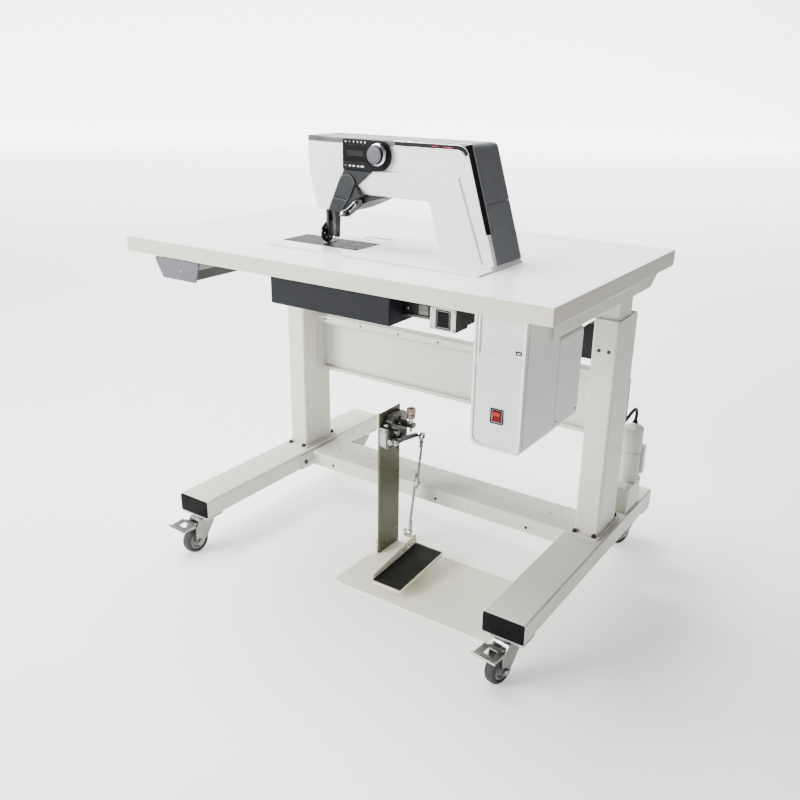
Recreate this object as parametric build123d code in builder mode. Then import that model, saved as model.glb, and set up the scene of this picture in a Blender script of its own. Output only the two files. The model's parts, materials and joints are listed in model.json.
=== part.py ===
"""Leather sewing machine on a motor-lifted stand: flat bed head with a roller foot, table, castered frame and
foot pedal.

Frame: millimetres, +X to the operator's right, +Y away from the operator, +Z up. The origin is on the floor under
the centre of the footprint. The operator's side of the table faces -Y.
"""

import os
from math import cos, radians, sin

from build123d import *

os.makedirs("parts", exist_ok=True)

# ---------------------------------------------------------------- driving dimensions
TABLE_WIDTH = 1200
TABLE_DEPTH = 700
TABLE_THICKNESS = 39
TABLE_TOP = 930  # height of the working surface above the floor
TABLE_UNDER = TABLE_TOP - TABLE_THICKNESS
TABLE_Y = -100  # centre of the tabletop, front to back

BEAM_X = 504.5  # centre of each foot beam and lift column
BEAM_WIDTH = 110
BEAM_BOTTOM = 121
BEAM_TOP = 175
BEAM_FRONT = -383
BEAM_REAR = 453
CAP_THICKNESS = 2.5
TUBE_WALL = 3

COLUMN_WIDTH = 67
COLUMN_FRONT = 83
COLUMN_REAR = 213
COLUMN_TOP = 771
BASE_PLATE = 4

INNER_OUT = BEAM_X + 29.5  # outer face of the inner column
INNER_IN = BEAM_X - 27.5
INNER_FRONT = 92
INNER_REAR = 174
INNER_BOTTOM = 330
SCREW_Y = 192

RAIL_OUT = 540
RAIL_WIDTH = 40
RAIL_BOTTOM = 821
RAIL_FRONT = -305
RAIL_REAR = 317

CASTER_END = 31  # swivel axis to the end of the beam
CASTER_TRAIL = 32
WHEEL_R = 39
WHEEL_WIDTH = 31
FORK_HALF = 23  # outer half width of the fork
FORK_WALL = 3
BRAKE_TIP = -93.8  # rolled front end of the brake pedal, from the swivel axis
BRAKE_WIDTH = 60
ROLL_HALF, ROLL_R = 34.5, 3.2
FORK_TOP = 107
PLATE_THICKNESS = 4
CASTERS = {
    "front_left": (-BEAM_X, BEAM_FRONT + CASTER_END, -5),
    "front_right": (BEAM_X, BEAM_FRONT + CASTER_END, -9),
    "rear_left": (-BEAM_X, BEAM_REAR - CASTER_END, -22),
    "rear_right": (BEAM_X, BEAM_REAR - CASTER_END, -22),
}

BED_X0, BED_X1 = -234, 366
BED_Y0, BED_Y1 = -319, -116.5
BED_TOP = 934
BED_THICKNESS = 12
HINGE_Y = -88  # axis on which the machine head tips back
HINGE_Z = 922
HINGES_X = (-56, 272)

HEAD_FRONT = -250
HEAD_REAR = -120
HEAD_TOP = 1188
PANEL_END = 57  # centre of the control panel's round end
DIAL_X, DIAL_Z = 62, 1157
COVER_THICKNESS = 12  # grey cover along the top of the arm
ARM_UNDER = 1062
COLUMN_FOOT = 936
NOSE_LEFT = -160
FACET_Y = -238  # where the shallow facet meets the left end of the nose
NEEDLE_X, NEEDLE_Y = -106, -206
HOOK_Z = 902
ROLLER_X, ROLLER_Y, ROLLER_R = -122, -218, 24.5
ROLLER_Z = BED_TOP + 1 + ROLLER_R

TREADLE_Y, TREADLE_Z = -190, 15  # pivot of the treadle
TREADLE_X0, TREADLE_X1 = 34, 132
TREADLE_HEEL, TREADLE_TOE = -250, -28
HEEL_Z, TOE_Z = 22, 36
EAR_TOP = 70  # top of the treadle's side flange at the toe
LOWER_BALL = (26, -47, 83)
UPPER_BALL = (12, 28, 356)
LEVER_Y, LEVER_Z = -58, 372  # pivot of the speed-control lever
POST_X = -56
TAB_TOP = 50  # rounded tab that stands up from the floor plate in front of the post
ROD_RADIUS = 3.8

CONTROL_X0, CONTROL_X1 = 414, 534
CONTROL_FRONT, CONTROL_SEAM, CONTROL_REAR = -418, -258, -130
CONTROL_BOTTOM = 597


def save(piece, name):
    """Label a finished piece and write its STEP file."""
    piece.label = name
    export_step(piece, f"parts/{name}.step")


def box(x0, x1, y0, y1, z0, z1):
    """A plain block between two corners, for use in a boolean."""
    block = Box(abs(x1 - x0), abs(y1 - y0), abs(z1 - z0), mode=Mode.PRIVATE)
    return Pos((x0 + x1) / 2, (y0 + y1) / 2, (z0 + z1) / 2) * block


def rod(start, end, radius):
    """A plain round bar from one point to another."""
    axis = Vector(*end) - Vector(*start)
    bar = Cylinder(radius, axis.length, align=(Align.CENTER, Align.CENTER, Align.MIN), mode=Mode.PRIVATE)
    return Plane(origin=start, z_dir=axis) * bar


def ball(centre, radius):
    """A plain ball about a point."""
    return Pos(*centre) * Rot(0, 0, 50) * Sphere(radius, mode=Mode.PRIVATE)


def group(*pieces):
    """Separate solids that share one node."""
    solids = [solid for piece in pieces for solid in piece.solids()]
    return Compound(children=solids)


def mirrored(solid):
    """The same solid on the other side of the machine."""
    return mirror(solid, about=Plane.YZ)


# ---------------------------------------------------------------- foot beams
with BuildPart() as beam:
    with BuildSketch(Plane.XZ.offset(-(BEAM_FRONT + CAP_THICKNESS))):
        with Locations((BEAM_X, (BEAM_TOP + BEAM_BOTTOM) / 2)):
            RectangleRounded(BEAM_WIDTH, BEAM_TOP - BEAM_BOTTOM, 5.5)
            RectangleRounded(BEAM_WIDTH - 2 * TUBE_WALL, BEAM_TOP - BEAM_BOTTOM - 2 * TUBE_WALL, 2.5, mode=Mode.SUBTRACT)
    extrude(amount=-(BEAM_REAR - BEAM_FRONT - 2 * CAP_THICKNESS))
save(group(beam.part, mirrored(beam.part)), "foot_beams")

with BuildPart() as end_cap:
    with BuildSketch(Plane.XZ.offset(-(BEAM_FRONT + CAP_THICKNESS))):
        with Locations((BEAM_X, (BEAM_TOP + BEAM_BOTTOM) / 2)):
            RectangleRounded(BEAM_WIDTH - 2.4, BEAM_TOP - BEAM_BOTTOM - 2.4, 4.4)
    extrude(amount=CAP_THICKNESS, taper=20)
    with BuildSketch(Plane.XZ.offset(-(BEAM_FRONT + CAP_THICKNESS))):
        with Locations((BEAM_X, (BEAM_TOP + BEAM_BOTTOM) / 2)):
            RectangleRounded(BEAM_WIDTH - 2 * TUBE_WALL - 0.4, BEAM_TOP - BEAM_BOTTOM - 2 * TUBE_WALL - 0.4, 2.3)
            RectangleRounded(BEAM_WIDTH - 4 * TUBE_WALL, BEAM_TOP - BEAM_BOTTOM - 4 * TUBE_WALL, 2, mode=Mode.SUBTRACT)
    extrude(amount=-15)
rear_cap = mirror(end_cap.part, about=Plane.XZ.offset(-(BEAM_FRONT + BEAM_REAR) / 2))
caps = group(end_cap.part, rear_cap)
save(group(caps, mirrored(caps)), "beam_end_caps")

# ---------------------------------------------------------------- crossbeam with its welded end brackets
CROSS_TOP, CROSS_BOTTOM, CROSS_FRONT, CROSS_REAR = 168, 120, 83, 217
BEAM_INNER = BEAM_X - BEAM_WIDTH / 2
with BuildPart() as crossbeam:
    with BuildSketch(Plane.YZ.offset(-BEAM_INNER + 4)):
        with Locations(((CROSS_FRONT + CROSS_REAR) / 2, (CROSS_TOP + CROSS_BOTTOM) / 2)):
            RectangleRounded(CROSS_REAR - CROSS_FRONT, CROSS_TOP - CROSS_BOTTOM, 4)
            RectangleRounded(CROSS_REAR - CROSS_FRONT - 6, CROSS_TOP - CROSS_BOTTOM - 6, 2, mode=Mode.SUBTRACT)
    extrude(amount=2 * (BEAM_INNER - 4))
    for side in (-1, 1):
        add(box(side * BEAM_INNER, side * (BEAM_INNER - 4), 24, CROSS_REAR, CROSS_BOTTOM + 1, CROSS_TOP - 2))
save(crossbeam.part, "crossbeam")

# ---------------------------------------------------------------- lower columns on their base plates
with BuildPart() as column:
    with BuildSketch(Plane.XY.offset(BEAM_TOP)):
        with Locations((BEAM_X, (COLUMN_FRONT + COLUMN_REAR) / 2)):
            RectangleRounded(84, COLUMN_REAR - COLUMN_FRONT + 34, 6)
    extrude(amount=BASE_PLATE)
    with BuildSketch(Plane.XY.offset(BEAM_TOP + BASE_PLATE)):
        with Locations((BEAM_X, (COLUMN_FRONT + COLUMN_REAR) / 2)):
            RectangleRounded(COLUMN_WIDTH, COLUMN_REAR - COLUMN_FRONT, 8)
            RectangleRounded(
                COLUMN_WIDTH - 2 * TUBE_WALL, COLUMN_REAR - COLUMN_FRONT - 2 * TUBE_WALL, 5, mode=Mode.SUBTRACT
            )
    extrude(amount=COLUMN_TOP - BEAM_TOP - BASE_PLATE)
save(group(column.part, mirrored(column.part)), "outer_columns")

# ---------------------------------------------------------------- folded modesty panel between the lower columns
PANEL_HALF = BEAM_X - COLUMN_WIDTH / 2 - 0.5
with BuildPart() as modesty_panel:
    with BuildSketch(Plane.YZ.offset(-PANEL_HALF)):
        with BuildLine():
            Polyline((153, 587), (153, 609), (190, 609), (190, 424), (178, 424), (178, 434))
        trace(line_width=1.6)
    extrude(amount=2 * PANEL_HALF)
    for side in (-1, 1):
        add(box(side * PANEL_HALF, side * (PANEL_HALF - 2), 150, 190, 435, 586))
save(modesty_panel.part, "modesty_panel")

# ---------------------------------------------------------------- frame fasteners
with BuildPart() as frame_bolts:
    for side in (-1, 1):
        for x in (BEAM_X - 27, BEAM_X + 27):
            for y in (COLUMN_FRONT - 9, COLUMN_REAR + 9):
                with BuildSketch(Plane.XY.offset(BEAM_TOP + BASE_PLATE)):
                    with Locations((side * x, y)):
                        RegularPolygon(7, 6)
                extrude(amount=6)
                add(rod((side * x, y, BEAM_TOP + BASE_PLATE + 6), (side * x, y, BEAM_TOP + BASE_PLATE + 9), 4))
        for x in (BEAM_X - 13, BEAM_X + 13):
            with BuildSketch(Plane.XZ.offset(-COLUMN_FRONT)):
                with Locations((side * x, 691)):
                    Circle(5)
            extrude(amount=3, taper=15)
        with BuildSketch(Plane.YZ.offset(side * (BEAM_INNER - 4))):
            with Locations((46, 143)):
                RegularPolygon(7, 6)
        extrude(amount=-side * 6)
    for x in (-360, -160, 30, 330):
        with BuildSketch(Plane.XZ.offset(-CROSS_FRONT)):
            with Locations((x, 138)):
                Circle(4.5)
        extrude(amount=2.5, taper=15)
save(group(frame_bolts.part), "frame_bolts")

# ---------------------------------------------------------------- lift drive behind the right column
MOTOR_X, MOTOR_Y = 526, 321
GEARBOX_TOP = 253
with BuildPart() as lift_gearbox:
    with BuildSketch(Plane.XY.offset(BEAM_TOP)):
        with Locations((MOTOR_X, MOTOR_Y - 16)):
            RectangleRounded(54, 98, 5)
    extrude(amount=GEARBOX_TOP - BEAM_TOP)
    fillet(lift_gearbox.faces().sort_by(Axis.Z)[-1].edges(), 3)
save(lift_gearbox.part, "lift_gearbox")

with BuildPart() as lift_motor:
    with BuildSketch(Plane.XZ.offset(-MOTOR_Y)):
        with BuildLine():
            Polyline(
                (MOTOR_X, GEARBOX_TOP), (MOTOR_X + 27.5, GEARBOX_TOP), (MOTOR_X + 27.5, 343), (MOTOR_X + 28.5, 344),
                (MOTOR_X + 28.5, 411), (MOTOR_X + 26, 415), (MOTOR_X, 427), (MOTOR_X, GEARBOX_TOP),
            )
        make_face()
    revolve(axis=Axis((MOTOR_X, MOTOR_Y, 0), (0, 0, 1)))
    with BuildSketch(Plane.XY.offset(272)):
        with Locations((MOTOR_X + 23, MOTOR_Y + 24)):
            RectangleRounded(18, 24, 3)
    extrude(amount=82)
    for x, y in ((-20, -57), (20, -57), (20, 26), (-20, 26)):
        with BuildSketch(Plane.XY.offset(GEARBOX_TOP)):
            with Locations((MOTOR_X + x, MOTOR_Y + y)):
                RegularPolygon(5.5, 6)
        extrude(amount=7)
save(group(lift_motor.part), "lift_motor")

# the lead leaves the top of the motor, loops over and goes into the back of the column
LEAD_ROUTE = [
    (MOTOR_X, MOTOR_Y + 6, 426.5),
    (MOTOR_X + 1, MOTOR_Y + 11, 450),
    (MOTOR_X + 2, MOTOR_Y - 2, 470),
    (MOTOR_X + 1, MOTOR_Y - 28, 470),
    (MOTOR_X - 2, MOTOR_Y - 58, 458),
    (MOTOR_X - 6, MOTOR_Y - 84, 448),
    (MOTOR_X - 8, COLUMN_REAR + 0.8, 440),
]


def route_radii(points, share=0.45):
    """The largest tangent arc at each corner of a route, from the shorter of its two runs."""
    corners = []
    for before, here, after in zip(points, points[1:], points[2:]):
        first, second = Vector(*here) - Vector(*before), Vector(*after) - Vector(*here)
        turn = radians(first.get_angle(second))
        corners.append(share * min(first.length, second.length) / (sin(turn / 2) / cos(turn / 2)))
    return corners


with BuildPart() as lift_motor_lead:
    with BuildLine() as lead_line:
        FilletPolyline(*LEAD_ROUTE, radius=route_radii(LEAD_ROUTE))
    with BuildSketch(Plane(origin=lead_line.line @ 0, z_dir=lead_line.line % 0)):
        Circle(4.5)
    sweep()
save(lift_motor_lead.part, "lift_motor_lead")

COLUMN_INNER = BEAM_X - COLUMN_WIDTH / 2
with BuildPart() as lift_control_box:
    with BuildSketch(Plane.XZ.offset(-118)):
        with BuildLine():
            Polyline((COLUMN_INNER, 652), (430, 652), (425, 657), (425, 728), (443, 744), (COLUMN_INNER, 744), close=True)
        make_face()
    extrude(amount=-84)
    fillet(lift_control_box.faces().sort_by(Axis.Y)[0].edges(), 2)
save(lift_control_box.part, "lift_control_box")

for side, label in ((-1, "left"), (1, "right")):
    with BuildPart() as lift_screw:
        with BuildSketch(Plane.XZ.offset(-SCREW_Y)):
            with BuildLine():
                Polyline((0, 180), (7, 180), (7, 200), (9, 202), (9, 748), (6, 750), (6, 760), (0, 760), close=True)
            make_face()
        revolve(axis=Axis((0, SCREW_Y, 0), (0, 0, 1)))
    save(Pos(side * BEAM_X, 0, 0) * lift_screw.part, f"lift_screw_{label}")

# ---------------------------------------------------------------- casters
with BuildPart() as caster_plate:
    with BuildSketch(Plane.XY.offset(BEAM_BOTTOM - PLATE_THICKNESS)):
        RectangleRounded(BEAM_WIDTH, 61, 5)
    extrude(amount=PLATE_THICKNESS)
    with BuildSketch(Plane.XY.offset(FORK_TOP + 0.4)):
        Circle(24)
    extrude(amount=BEAM_BOTTOM - PLATE_THICKNESS - FORK_TOP - 0.4)
    for x, y in ((-44, -20), (44, -20), (-44, 20), (44, 20)):
        with BuildSketch(Plane.XY.offset(BEAM_BOTTOM - PLATE_THICKNESS)):
            with Locations((x, y)):
                RegularPolygon(6.5, 6)
        extrude(amount=-5)

with BuildPart() as fork:
    with BuildSketch(Plane.XY.offset(FORK_TOP)):
        Circle(25)
        with Locations((0, -12)):
            Rectangle(2 * FORK_HALF, 24)
    extrude(amount=-5)
    with BuildSketch(Plane.YZ.offset(-FORK_HALF)):
        with BuildLine():
            Polyline((23, FORK_TOP), (22, 88), (-6, 48), (-CASTER_TRAIL + 11, WHEEL_R - 5))
            RadiusArc((-CASTER_TRAIL + 11, WHEEL_R - 5), (-CASTER_TRAIL - 11, WHEEL_R - 5), 12)
            Polyline((-CASTER_TRAIL - 11, WHEEL_R - 5), (-46, 62), (-42, 84), (-26, FORK_TOP), (23, FORK_TOP))
        make_face()
    extrude(amount=2 * FORK_HALF)
    with BuildSketch(Plane.YZ.offset(FORK_WALL - FORK_HALF)):
        Rectangle(400, 2 * (FORK_TOP - 5))
    extrude(amount=2 * (FORK_HALF - FORK_WALL), mode=Mode.SUBTRACT)

with BuildPart() as axle:
    for x in (-FORK_HALF - 6, FORK_HALF):
        with BuildSketch(Plane.YZ.offset(x)):
            with Locations((-CASTER_TRAIL, WHEEL_R)):
                RegularPolygon(8, 6)
        extrude(amount=6)
    with BuildSketch(Plane.YZ.offset(-FORK_HALF)):
        with Locations((-CASTER_TRAIL, WHEEL_R)):
            Circle(4)
    extrude(amount=2 * FORK_HALF)


def wheel_ring(profile, bore):
    """A wheel part turned about the axle, from half of its section."""
    with BuildPart() as ring:
        with BuildSketch(Plane.XY):
            with BuildLine():
                Polyline(*profile, *[(-x, y) for x, y in reversed(profile)], close=True)
            make_face()
        revolve(axis=Axis.X)
        with BuildSketch(Plane.YZ.offset(-30)):
            Circle(bore)
        extrude(amount=60, mode=Mode.SUBTRACT)
    return Pos(0, -CASTER_TRAIL, WHEEL_R) * ring.part


HALF_WHEEL = WHEEL_WIDTH / 2
TYRE_SECTION = [
    (0, WHEEL_R), (-6, WHEEL_R - 0.3), (-11, WHEEL_R - 1.8), (-HALF_WHEEL, WHEEL_R - 6.5), (-HALF_WHEEL, 30), (-12, 26),
]
tyre = wheel_ring(TYRE_SECTION, 26)
hub = wheel_ring([(0, 26), (-12, 26), (-12, 22), (-6, 20), (-6, 15), (-18, 13), (-18, 4.06)], 4.06)

with BuildPart() as brake:
    with BuildSketch(Plane.YZ.offset(-BRAKE_WIDTH / 2)):
        with BuildLine():
            Polyline((-36, 92.6), (-46, 100), (-80, 96), (-88, 95), (BRAKE_TIP, 96), (BRAKE_TIP, 99.4))
            Polyline((BRAKE_TIP, 99.4), (-88, 98.4), (-80, 99.4), (-46, 103.4), (-34, 94.6), (-36, 92.6))
        make_face()
    extrude(amount=BRAKE_WIDTH)
    with BuildSketch(Plane.XY.offset(70)):
        with Locations((0, -67)):
            RectangleRounded(27, 21, 2)
        for side in (-1, 1):
            with Locations((side * (FORK_HALF + 5), -40)):
                Rectangle(17, 20)
    extrude(amount=40, mode=Mode.SUBTRACT)
    for side in (-1, 1):
        add(box(side * (BRAKE_WIDTH / 2 - 2.4), side * BRAKE_WIDTH / 2, -84, -50, 92, 100))
    add(box(-16, 16, -40, -24, 91.4, 95))
    add(rod((-ROLL_HALF, BRAKE_TIP, 98), (ROLL_HALF, BRAKE_TIP, 98), ROLL_R))


def placed(piece, label):
    """A caster piece turned and moved to its corner of the frame."""
    x, y, turn = CASTERS[label]
    return Pos(x, y, 0) * Rot(0, 0, turn) * piece


save(group(*[Pos(x, y, 0) * caster_plate.part for x, y, turn in CASTERS.values()]), "caster_plates")
for label in CASTERS:
    save(group(placed(fork.part, label), placed(axle.part - fork.part, label)), f"{label}_fork")
    save(group(placed(tyre, label), placed(hub, label)), f"{label}_wheel")
for label in ("front_left", "front_right"):
    save(placed(brake.part, label), f"{label}_brake")

# ---------------------------------------------------------------- tabletop with the opening for the bed
CUT_X0, CUT_X1, CUT_Y0, CUT_Y1 = BED_X0 - 1.5, BED_X1 + 1.5, BED_Y0 - 1.5, BED_Y1 + 3.5
with BuildPart() as tabletop:
    with BuildSketch(Plane.XY.offset(TABLE_UNDER)):
        with Locations((0, TABLE_Y)):
            RectangleRounded(TABLE_WIDTH, TABLE_DEPTH, 4)
        with Locations(((CUT_X0 + CUT_X1) / 2, (CUT_Y0 + CUT_Y1) / 2)):
            RectangleRounded(CUT_X1 - CUT_X0, CUT_Y1 - CUT_Y0, 6, mode=Mode.SUBTRACT)
    extrude(amount=TABLE_THICKNESS)
    for face in (tabletop.faces().sort_by(Axis.Z)[-1], tabletop.faces().sort_by(Axis.Z)[0]):
        fillet(face.outer_wire().edges(), 2)
    for x in HINGES_X:
        with BuildSketch(Plane.XY.offset(TABLE_TOP - 24)):
            with Locations((x, (CUT_Y1 - 74) / 2)):
                Rectangle(84, -74 - CUT_Y1 + 0.02)
        extrude(amount=40, mode=Mode.SUBTRACT)
save(tabletop.part, "tabletop")

# hinge blocks with their pins, set into the pockets of the tabletop
with BuildPart() as head_hinge:
    with BuildSketch(Plane.YZ.offset(-41)):
        with BuildLine():
            Polyline((-99, TABLE_TOP - 24), (-75, TABLE_TOP - 24), (-75, TABLE_TOP - 1), (-95, TABLE_TOP - 1))
            Polyline((-95, TABLE_TOP - 1), (-99, TABLE_TOP - 5), (-99, TABLE_TOP - 24))
        make_face()
    extrude(amount=16)
    with BuildSketch(Plane.YZ.offset(25)):
        with BuildLine():
            Polyline((-99, TABLE_TOP - 24), (-75, TABLE_TOP - 24), (-75, TABLE_TOP - 1), (-95, TABLE_TOP - 1))
            Polyline((-95, TABLE_TOP - 1), (-99, TABLE_TOP - 5), (-99, TABLE_TOP - 24))
        make_face()
    extrude(amount=16)
    with BuildSketch(Plane.YZ.offset(-25)):
        with Locations((HINGE_Y, HINGE_Z)):
            Circle(4)
    extrude(amount=50)
save(group(*[Pos(x, 0, 0) * head_hinge.part for x in HINGES_X]), "head_hinges")

# ---------------------------------------------------------------- rails under the tabletop and upper columns
with BuildPart() as rail:
    with BuildSketch(Plane.XZ.offset(-RAIL_FRONT)):
        with Locations((RAIL_OUT - RAIL_WIDTH / 2, (RAIL_BOTTOM + TABLE_UNDER) / 2)):
            RectangleRounded(RAIL_WIDTH, TABLE_UNDER - RAIL_BOTTOM, 3)
            RectangleRounded(RAIL_WIDTH - 5, TABLE_UNDER - RAIL_BOTTOM - 5, 1, mode=Mode.SUBTRACT)
    extrude(amount=-(RAIL_REAR - RAIL_FRONT))
    with BuildSketch(Plane.XZ.offset(-RAIL_FRONT)):
        with Locations((RAIL_OUT - RAIL_WIDTH / 2, (RAIL_BOTTOM + TABLE_UNDER) / 2)):
            RectangleRounded(RAIL_WIDTH, TABLE_UNDER - RAIL_BOTTOM, 3)
    extrude(amount=-3)
    with BuildSketch(Plane.YZ.offset(400)):
        with BuildLine():
            Polyline((RAIL_REAR - 44, RAIL_BOTTOM - 1), (RAIL_REAR + 1, 849), (RAIL_REAR + 1, RAIL_BOTTOM - 1), close=True)
        make_face()
    extrude(amount=200, mode=Mode.SUBTRACT)
    for y in (-230, -11, 208):
        with BuildSketch(Plane.YZ.offset(RAIL_OUT)):
            with Locations((y, RAIL_BOTTOM + 14)):
                Circle(4.5)
        extrude(amount=2, taper=20)
save(group(rail.part, mirrored(rail.part)), "table_rails")

with BuildPart() as inner_column:
    with BuildSketch(Plane.XY.offset(INNER_BOTTOM)):
        with Locations(((INNER_OUT + INNER_IN) / 2, (INNER_FRONT + INNER_REAR) / 2)):
            RectangleRounded(INNER_OUT - INNER_IN, INNER_REAR - INNER_FRONT, 5)
            RectangleRounded(INNER_OUT - INNER_IN - 6, INNER_REAR - INNER_FRONT - 6, 2, mode=Mode.SUBTRACT)
    extrude(amount=RAIL_BOTTOM - INNER_BOTTOM)
    with BuildSketch(Plane.XY.offset(RAIL_BOTTOM - 6)):
        with Locations(((INNER_OUT + INNER_IN) / 2, (INNER_FRONT + INNER_REAR) / 2)):
            RectangleRounded(INNER_OUT - INNER_IN, INNER_REAR - INNER_FRONT, 5)
    extrude(amount=6)
    with BuildSketch(Plane.XY.offset(INNER_BOTTOM)):
        with Locations((BEAM_X, (INNER_REAR + 208) / 2 - 1)):
            Rectangle(30, 208 - INNER_REAR + 2)
        with Locations((BEAM_X, SCREW_Y)):
            Circle(9.5, mode=Mode.SUBTRACT)
    extrude(amount=30)
save(group(inner_column.part, mirrored(inner_column.part)), "inner_columns")

# ---------------------------------------------------------------- drawer at the left of the tabletop
DRAWER_X, DRAWER_FRONT, DRAWER_BACK = -432, -435, -190
with BuildPart() as drawer:
    with BuildSketch(Plane.XZ.offset(-(DRAWER_FRONT + 5))) as drawer_face:
        with BuildLine():
            Polyline((-516, 885), (-487, 834), (-371, 834), (-354, 885), close=True)
        make_face()
        fillet(drawer_face.vertices().group_by(Axis.Z)[0], 5)
    extrude(amount=5)
    with BuildSketch(Plane.XY.offset(838)):
        with Locations((DRAWER_X, (DRAWER_FRONT + 5 + DRAWER_BACK) / 2)):
            RectangleRounded(112, DRAWER_BACK - DRAWER_FRONT - 5, 2)
    extrude(amount=38)
    with BuildSketch(Plane.XY.offset(840.5)):
        with Locations((DRAWER_X, (DRAWER_FRONT + 5 + DRAWER_BACK) / 2)):
            RectangleRounded(107, DRAWER_BACK - DRAWER_FRONT - 10, 2)
    extrude(amount=60, mode=Mode.SUBTRACT)
    for side in (-1, 1):
        add(box(DRAWER_X + side * 56, DRAWER_X + side * 62, DRAWER_FRONT + 5, DRAWER_BACK, 871, 876))
save(drawer.part, "drawer")

with BuildPart() as drawer_runner:
    with BuildSketch(Plane.XZ.offset(425)):
        with BuildLine():
            Polyline((57, 866), (57, 869.5), (64, 869.5), (64, TABLE_UNDER), (67.5, TABLE_UNDER), (67.5, 866), close=True)
        make_face()
    extrude(amount=-245)
save(
    group(Pos(DRAWER_X, 0, 0) * drawer_runner.part, Pos(DRAWER_X, 0, 0) * mirrored(drawer_runner.part)),
    "drawer_runners",
)

# ---------------------------------------------------------------- covers and boxes under the tabletop
with BuildPart() as underbed_cover:
    with BuildSketch(Plane.XY.offset(812)):
        with Locations((21, -266)):
            RectangleRounded(346, 268, 4)
    extrude(amount=TABLE_UNDER - 812)
    fillet(underbed_cover.faces().sort_by(Axis.Z)[0].edges(), 3)
    with BuildSketch(Plane.XY.offset(815)):
        with Locations((21, -266)):
            RectangleRounded(340, 262, 3)
    extrude(amount=100, mode=Mode.SUBTRACT)
save(underbed_cover.part, "underbed_cover")

with BuildPart() as oil_pan:
    with BuildSketch(Plane.XY.offset(827)):
        with Locations((273, -240)):
            RectangleRounded(157, 212, 3)
    extrude(amount=TABLE_UNDER - 827)
    with BuildSketch(Plane.XY.offset(834)):
        with Locations((273, -235)):
            RectangleRounded(151, 216, 3)
    extrude(amount=100, mode=Mode.SUBTRACT)
    add(box(194.6, 351.4, -340, -336, 832, TABLE_UNDER))
save(oil_pan.part, "oil_pan")

with BuildPart() as switch_box:
    with BuildSketch(Plane.XZ.offset(350)):
        with Locations((329, 850)):
            RectangleRounded(64, 48, 2)
    extrude(amount=50)
    fillet(switch_box.faces().sort_by(Axis.Y)[0].edges(), 1.5)
    for x in (303, 355):
        for z in (830.5, 869.5):
            with BuildSketch(Plane.XZ.offset(400)):
                with Locations((x, z)):
                    Circle(3)
            extrude(amount=1.2, taper=10)
    add(box(305, 353, -396, -352, 873, TABLE_UNDER))
    with BuildSketch(Plane.XZ.offset(400)):
        with Locations((330, 850.5)):
            Rectangle(28.8, 34.8)
    extrude(amount=-12, mode=Mode.SUBTRACT)
save(switch_box.part, "switch_box")


def rocker(width, height, depth, bulge):
    """A switch rocker, bent about its middle, facing -Y, with its axis along X at the origin."""
    with BuildPart() as shape:
        with BuildSketch(Plane.YZ.offset(-width / 2)):
            with BuildLine():
                Polyline((depth, -height / 2 + 2), (-bulge - 2.2, -height / 2), (-bulge + 0.4, 0))
                Polyline((-bulge + 0.4, 0), (-bulge + 1.6, height / 2), (depth, height / 2 - 2), (depth, -height / 2 + 2))
            make_face()
        extrude(amount=width)
    return shape.part


save(Pos(330, -396, 850.5) * rocker(27.6, 32, 5, 4), "switch_rocker")

CHAMFER_TOP, CHAMFER_LOW = 889, 817
with BuildPart() as control_box:
    with BuildSketch(Plane.XZ.offset(-CONTROL_SEAM)):
        with Locations(((CONTROL_X0 + CONTROL_X1) / 2, (CONTROL_BOTTOM + CHAMFER_LOW) / 2)):
            RectangleRounded(CONTROL_X1 - CONTROL_X0 - 2, CHAMFER_LOW - CONTROL_BOTTOM - 2, 13)
    extrude(amount=-(CONTROL_REAR - CONTROL_SEAM))
    fillet(control_box.faces().sort_by(Axis.Y)[-1].edges(), 4)
    for x in (CONTROL_X0 + 20, CONTROL_X0 + 62):
        add(box(x, x + 20, CONTROL_SEAM + 20, CONTROL_REAR - 20, CHAMFER_LOW - 3, TABLE_UNDER))
save(control_box.part, "control_box")

with BuildPart() as control_box_front:
    with BuildSketch(Plane.XZ.offset(-CONTROL_SEAM)):
        with Locations(((CONTROL_X0 + CONTROL_X1) / 2, (CONTROL_BOTTOM + CHAMFER_TOP) / 2)):
            RectangleRounded(CONTROL_X1 - CONTROL_X0, CHAMFER_TOP - CONTROL_BOTTOM, 14)
    extrude(amount=CONTROL_SEAM - CONTROL_FRONT)
    with BuildSketch(Plane.YZ.offset(CONTROL_X0 - 10)):
        with BuildLine():
            Polyline((RAIL_FRONT - 2, 900), (RAIL_FRONT - 2, 819), (CONTROL_SEAM - 6, CHAMFER_LOW), (0, CHAMFER_LOW))
            Polyline((0, CHAMFER_LOW), (0, 900), (RAIL_FRONT - 2, 900))
        make_face()
    extrude(amount=200, mode=Mode.SUBTRACT)
    fillet(control_box_front.faces().sort_by(Axis.Y)[0].edges(), 5)
    with BuildSketch(Plane.XZ.offset(-CONTROL_FRONT - 1.4)):
        with Locations(((CONTROL_X0 + CONTROL_X1) / 2, 692)):
            RectangleRounded(104, 176, 9)
    extrude(amount=10, mode=Mode.SUBTRACT)
    with BuildSketch(Plane.XZ.offset(-CONTROL_FRONT - 4)):
        with Locations(((CONTROL_X0 + CONTROL_X1) / 2, 838)):
            RectangleRounded(104, 92, 5)
    extrude(amount=10, mode=Mode.SUBTRACT)
    with BuildSketch(Plane.XZ.offset(-CONTROL_FRONT - 20)):
        with Locations((476, 674.5)):
            Rectangle(22.6, 26.6)
    extrude(amount=30, mode=Mode.SUBTRACT)
save(control_box_front.part, "control_box_front")
save(Pos(476, CONTROL_FRONT + 5, 674.5) * rocker(21.6, 24.6, 6, 3), "power_rocker")

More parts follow.
